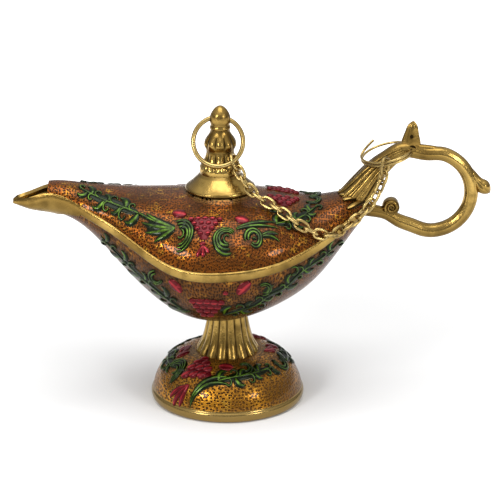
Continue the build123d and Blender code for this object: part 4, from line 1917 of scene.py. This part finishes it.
    @staticmethod
    def foot_scrolls() -> list[Figure]:
        """Green scrolls and leaves of the foot.

        Returns:
            The figures, in plan.
        """
        return [
            Curl((-14.0, -8.4), 2.4, 120, -245, 0.6, 0.1, strands=3),
            Curl((-14.0, -8.6), 1.0, 100, -270, 0.5, 0.4),
            Stroke((-9.8, -17.4), (1.0, -16.4), 1.0, 1.25, strands=2, spread=1.7),
            *garland([(-2.4, -16.2), (3.4, -14.9), (8.4, -12.4), (12.4, -8.4)], 6, 3.3, 1.4),
            Curl((4.6, -12.0), 1.7, -90, 240, 0.5, 0.3, strands=2),
            Curl((13.8, -5.4), 2.0, 90, -260, 0.55, 0.2, strands=2),
            *garland([(15.8, -2.6), (16.0, 1.4), (15.0, 6.2)], 4, 3.1, 1.35),
        ]

    @staticmethod
    def foot_flowers() -> list[Figure]:
        """Pink flowers and petals of the foot.

        Returns:
            The figures, in plan.
        """
        return [
            *flower((-4.6, -14.8), (-8.6, -9.8), 3.6, 3),
            Stroke((-2.2, -12.0), (1.6, -12.6), 0.15, 1.6, Taper.BEAD),
            *petals((-10.0, -14.8), [(-15.2, -12.9), (-14.4, -14.4), (-12.6, -15.8)], 1.0),
            Stroke((-13.6, -3.6), (-10.2, -2.4), 0.15, 1.1, Taper.BEAD),
            *petals((10.0, -2.0), [(12.8, -0.6), (13.0, 1.0), (12.0, 2.4)], 1.0),
        ]

    def build(self, palette: Palette) -> None:
        """Makes the ornament of both sides.

        Args:
            palette: all finishes.
        """
        for side, label in ((-1.0, "near"), (1.0, "far")):
            upper = Ornament(f"upper_{label}", self.upper_chart(side), (0, 0, 1))
            bowl = Ornament(f"bowl_{label}", self.bowl_chart(side), (0, side, 0))
            foot = Ornament(f"foot_{label}", self.foot_chart(side), (0, 0, 1))
            for carrier, scrolls, flowers in ((upper, self.upper_scrolls(), self.upper_flowers()),
                                              (bowl, self.bowl_scrolls(), self.bowl_flowers()),
                                              (foot, self.foot_scrolls(), self.foot_flowers())):
                carrier.build(scrolls, palette.green, "scrolls")
                carrier.build(flowers, palette.pink, "flowers")


@dataclass(frozen=True)
class Light:
    """One soft area light that faces the lamp."""

    name: str
    place: tuple[float, float, float]
    size: float
    watts: float


@dataclass(frozen=True)
class Studio:
    """Camera, lights, pale floor and white surroundings."""

    eye: tuple[float, float, float] = (0.0061, -0.51995, 0.22083)
    target: tuple[float, float, float] = (0.0061, 0.0, 0.0415)
    lens: float = 148.5
    sensor: float = 36.0
    floor_size: float = 6.0
    floor_tone: Colour = (0.93, 0.93, 0.93, 1.0)
    fade: Pair = (0.07, 0.3)
    ambient: float = 0.48
    horizon: float = 0.25
    sky_top: float = 0.9
    lights: tuple[Light, ...] = (
        Light("Top", (0.0, -0.16, 0.88), 0.75, 5.0),
        Light("Key", (-0.5, -0.6, 0.45), 0.2, 2.4),
        Light("Fill", (0.55, -0.55, 0.4), 0.2, 1.6),
    )

    @staticmethod
    def _aim(item: bpy.types.Object, target: Vector) -> None:
        """Turns an object's view direction to a target."""
        item.rotation_euler = (target - item.location).to_track_quat("-Z", "Y").to_euler()

    def camera(self) -> None:
        """Camera at the photograph's angle."""
        data = bpy.data.cameras.new("Camera")
        data.lens = self.lens
        data.sensor_width = self.sensor
        camera = bpy.data.objects.new("Camera", data)
        camera.location = self.eye
        self._aim(camera, Vector(self.target))
        bpy.context.scene.collection.objects.link(camera)
        bpy.context.scene.camera = camera

    def lighting(self) -> None:
        """Soft area lights round the lamp."""
        for light in self.lights:
            data = bpy.data.lights.new(light.name, "AREA")
            data.shape = "DISK"
            data.size = light.size
            data.energy = light.watts
            lamp = bpy.data.objects.new(light.name, data)
            lamp.location = light.place
            self._aim(lamp, Vector(self.target))
            bpy.context.scene.collection.objects.link(lamp)

    def floor(self) -> None:
        """Large pale floor that keeps the lamp's shadow."""
        half = self.floor_size / 2
        mesh = bpy.data.meshes.new("Floor")
        corners = [(-half, -half, 0), (half, -half, 0), (half, half, 0), (-half, half, 0)]
        mesh.from_pydata(corners, [], [(0, 1, 2, 3)])
        material, nodes, shader = new_material("Pale floor")
        away = nodes.add("ShaderNodeVectorMath", {0: nodes.place()}, operation="LENGTH")
        near_white = nodes.spread(away.outputs["Value"], *self.fade)
        nodes.feed(shader, {
            "Base Color": self.floor_tone,
            "Roughness": 1.0,
            "Specular IOR Level": 0.0,
            "Emission Color": WHITE,
            "Emission Strength": nodes.math("MULTIPLY", near_white, nodes.seen()),
        })
        mesh.materials.append(material)
        floor = bpy.data.objects.new("Floor", mesh)
        bpy.context.scene.collection.objects.link(floor)

    def world(self) -> None:
        """White surroundings, darker low down for what mirrors them, and dim as a light."""
        world = bpy.data.worlds.new("World")
        bpy.context.scene.world = world
        world.use_nodes = True
        world.node_tree.nodes.clear()
        nodes = Nodes(world.node_tree)
        direction = nodes.add("ShaderNodeTexCoord").outputs["Generated"]
        height = nodes.add("ShaderNodeSeparateXYZ", {0: direction}).outputs["Z"]
        mirrored = nodes.add("ShaderNodeLightPath").outputs["Is Glossy Ray"]
        sky = nodes.lerp(nodes.spread(height, 0.0, self.sky_top), self.horizon, 1.0)
        shown = nodes.math("MAXIMUM", sky, nodes.math("SUBTRACT", 1.0, mirrored))
        strength = nodes.lerp(nodes.seen(), self.ambient, shown)
        light = nodes.add("ShaderNodeBackground", {"Color": WHITE, "Strength": strength})
        nodes.add("ShaderNodeOutputWorld", {"Surface": light.outputs[0]})

    def build(self) -> None:
        """Sets the stage."""
        self.camera()
        self.lighting()
        self.floor()
        self.world()
        bpy.context.scene.view_settings.view_transform = "Standard"


def main() -> None:
    """Builds every sub-assembly, dresses it and sets the stage."""
    logging.basicConfig(level=logging.INFO, format="%(message)s")
    palette = Palette.made()
    hull = Hull()
    foot = FootShape()
    decoration = Decoration(hull, foot)
    BodyShape(hull).build(palette, decoration)
    foot.build(palette, decoration)
    LidShape().build(palette)
    HandleShape(hull).build(palette)
    ChainShape().build(palette)
    decoration.build(palette)
    Studio().build()


if __name__ == "__main__":
    main()
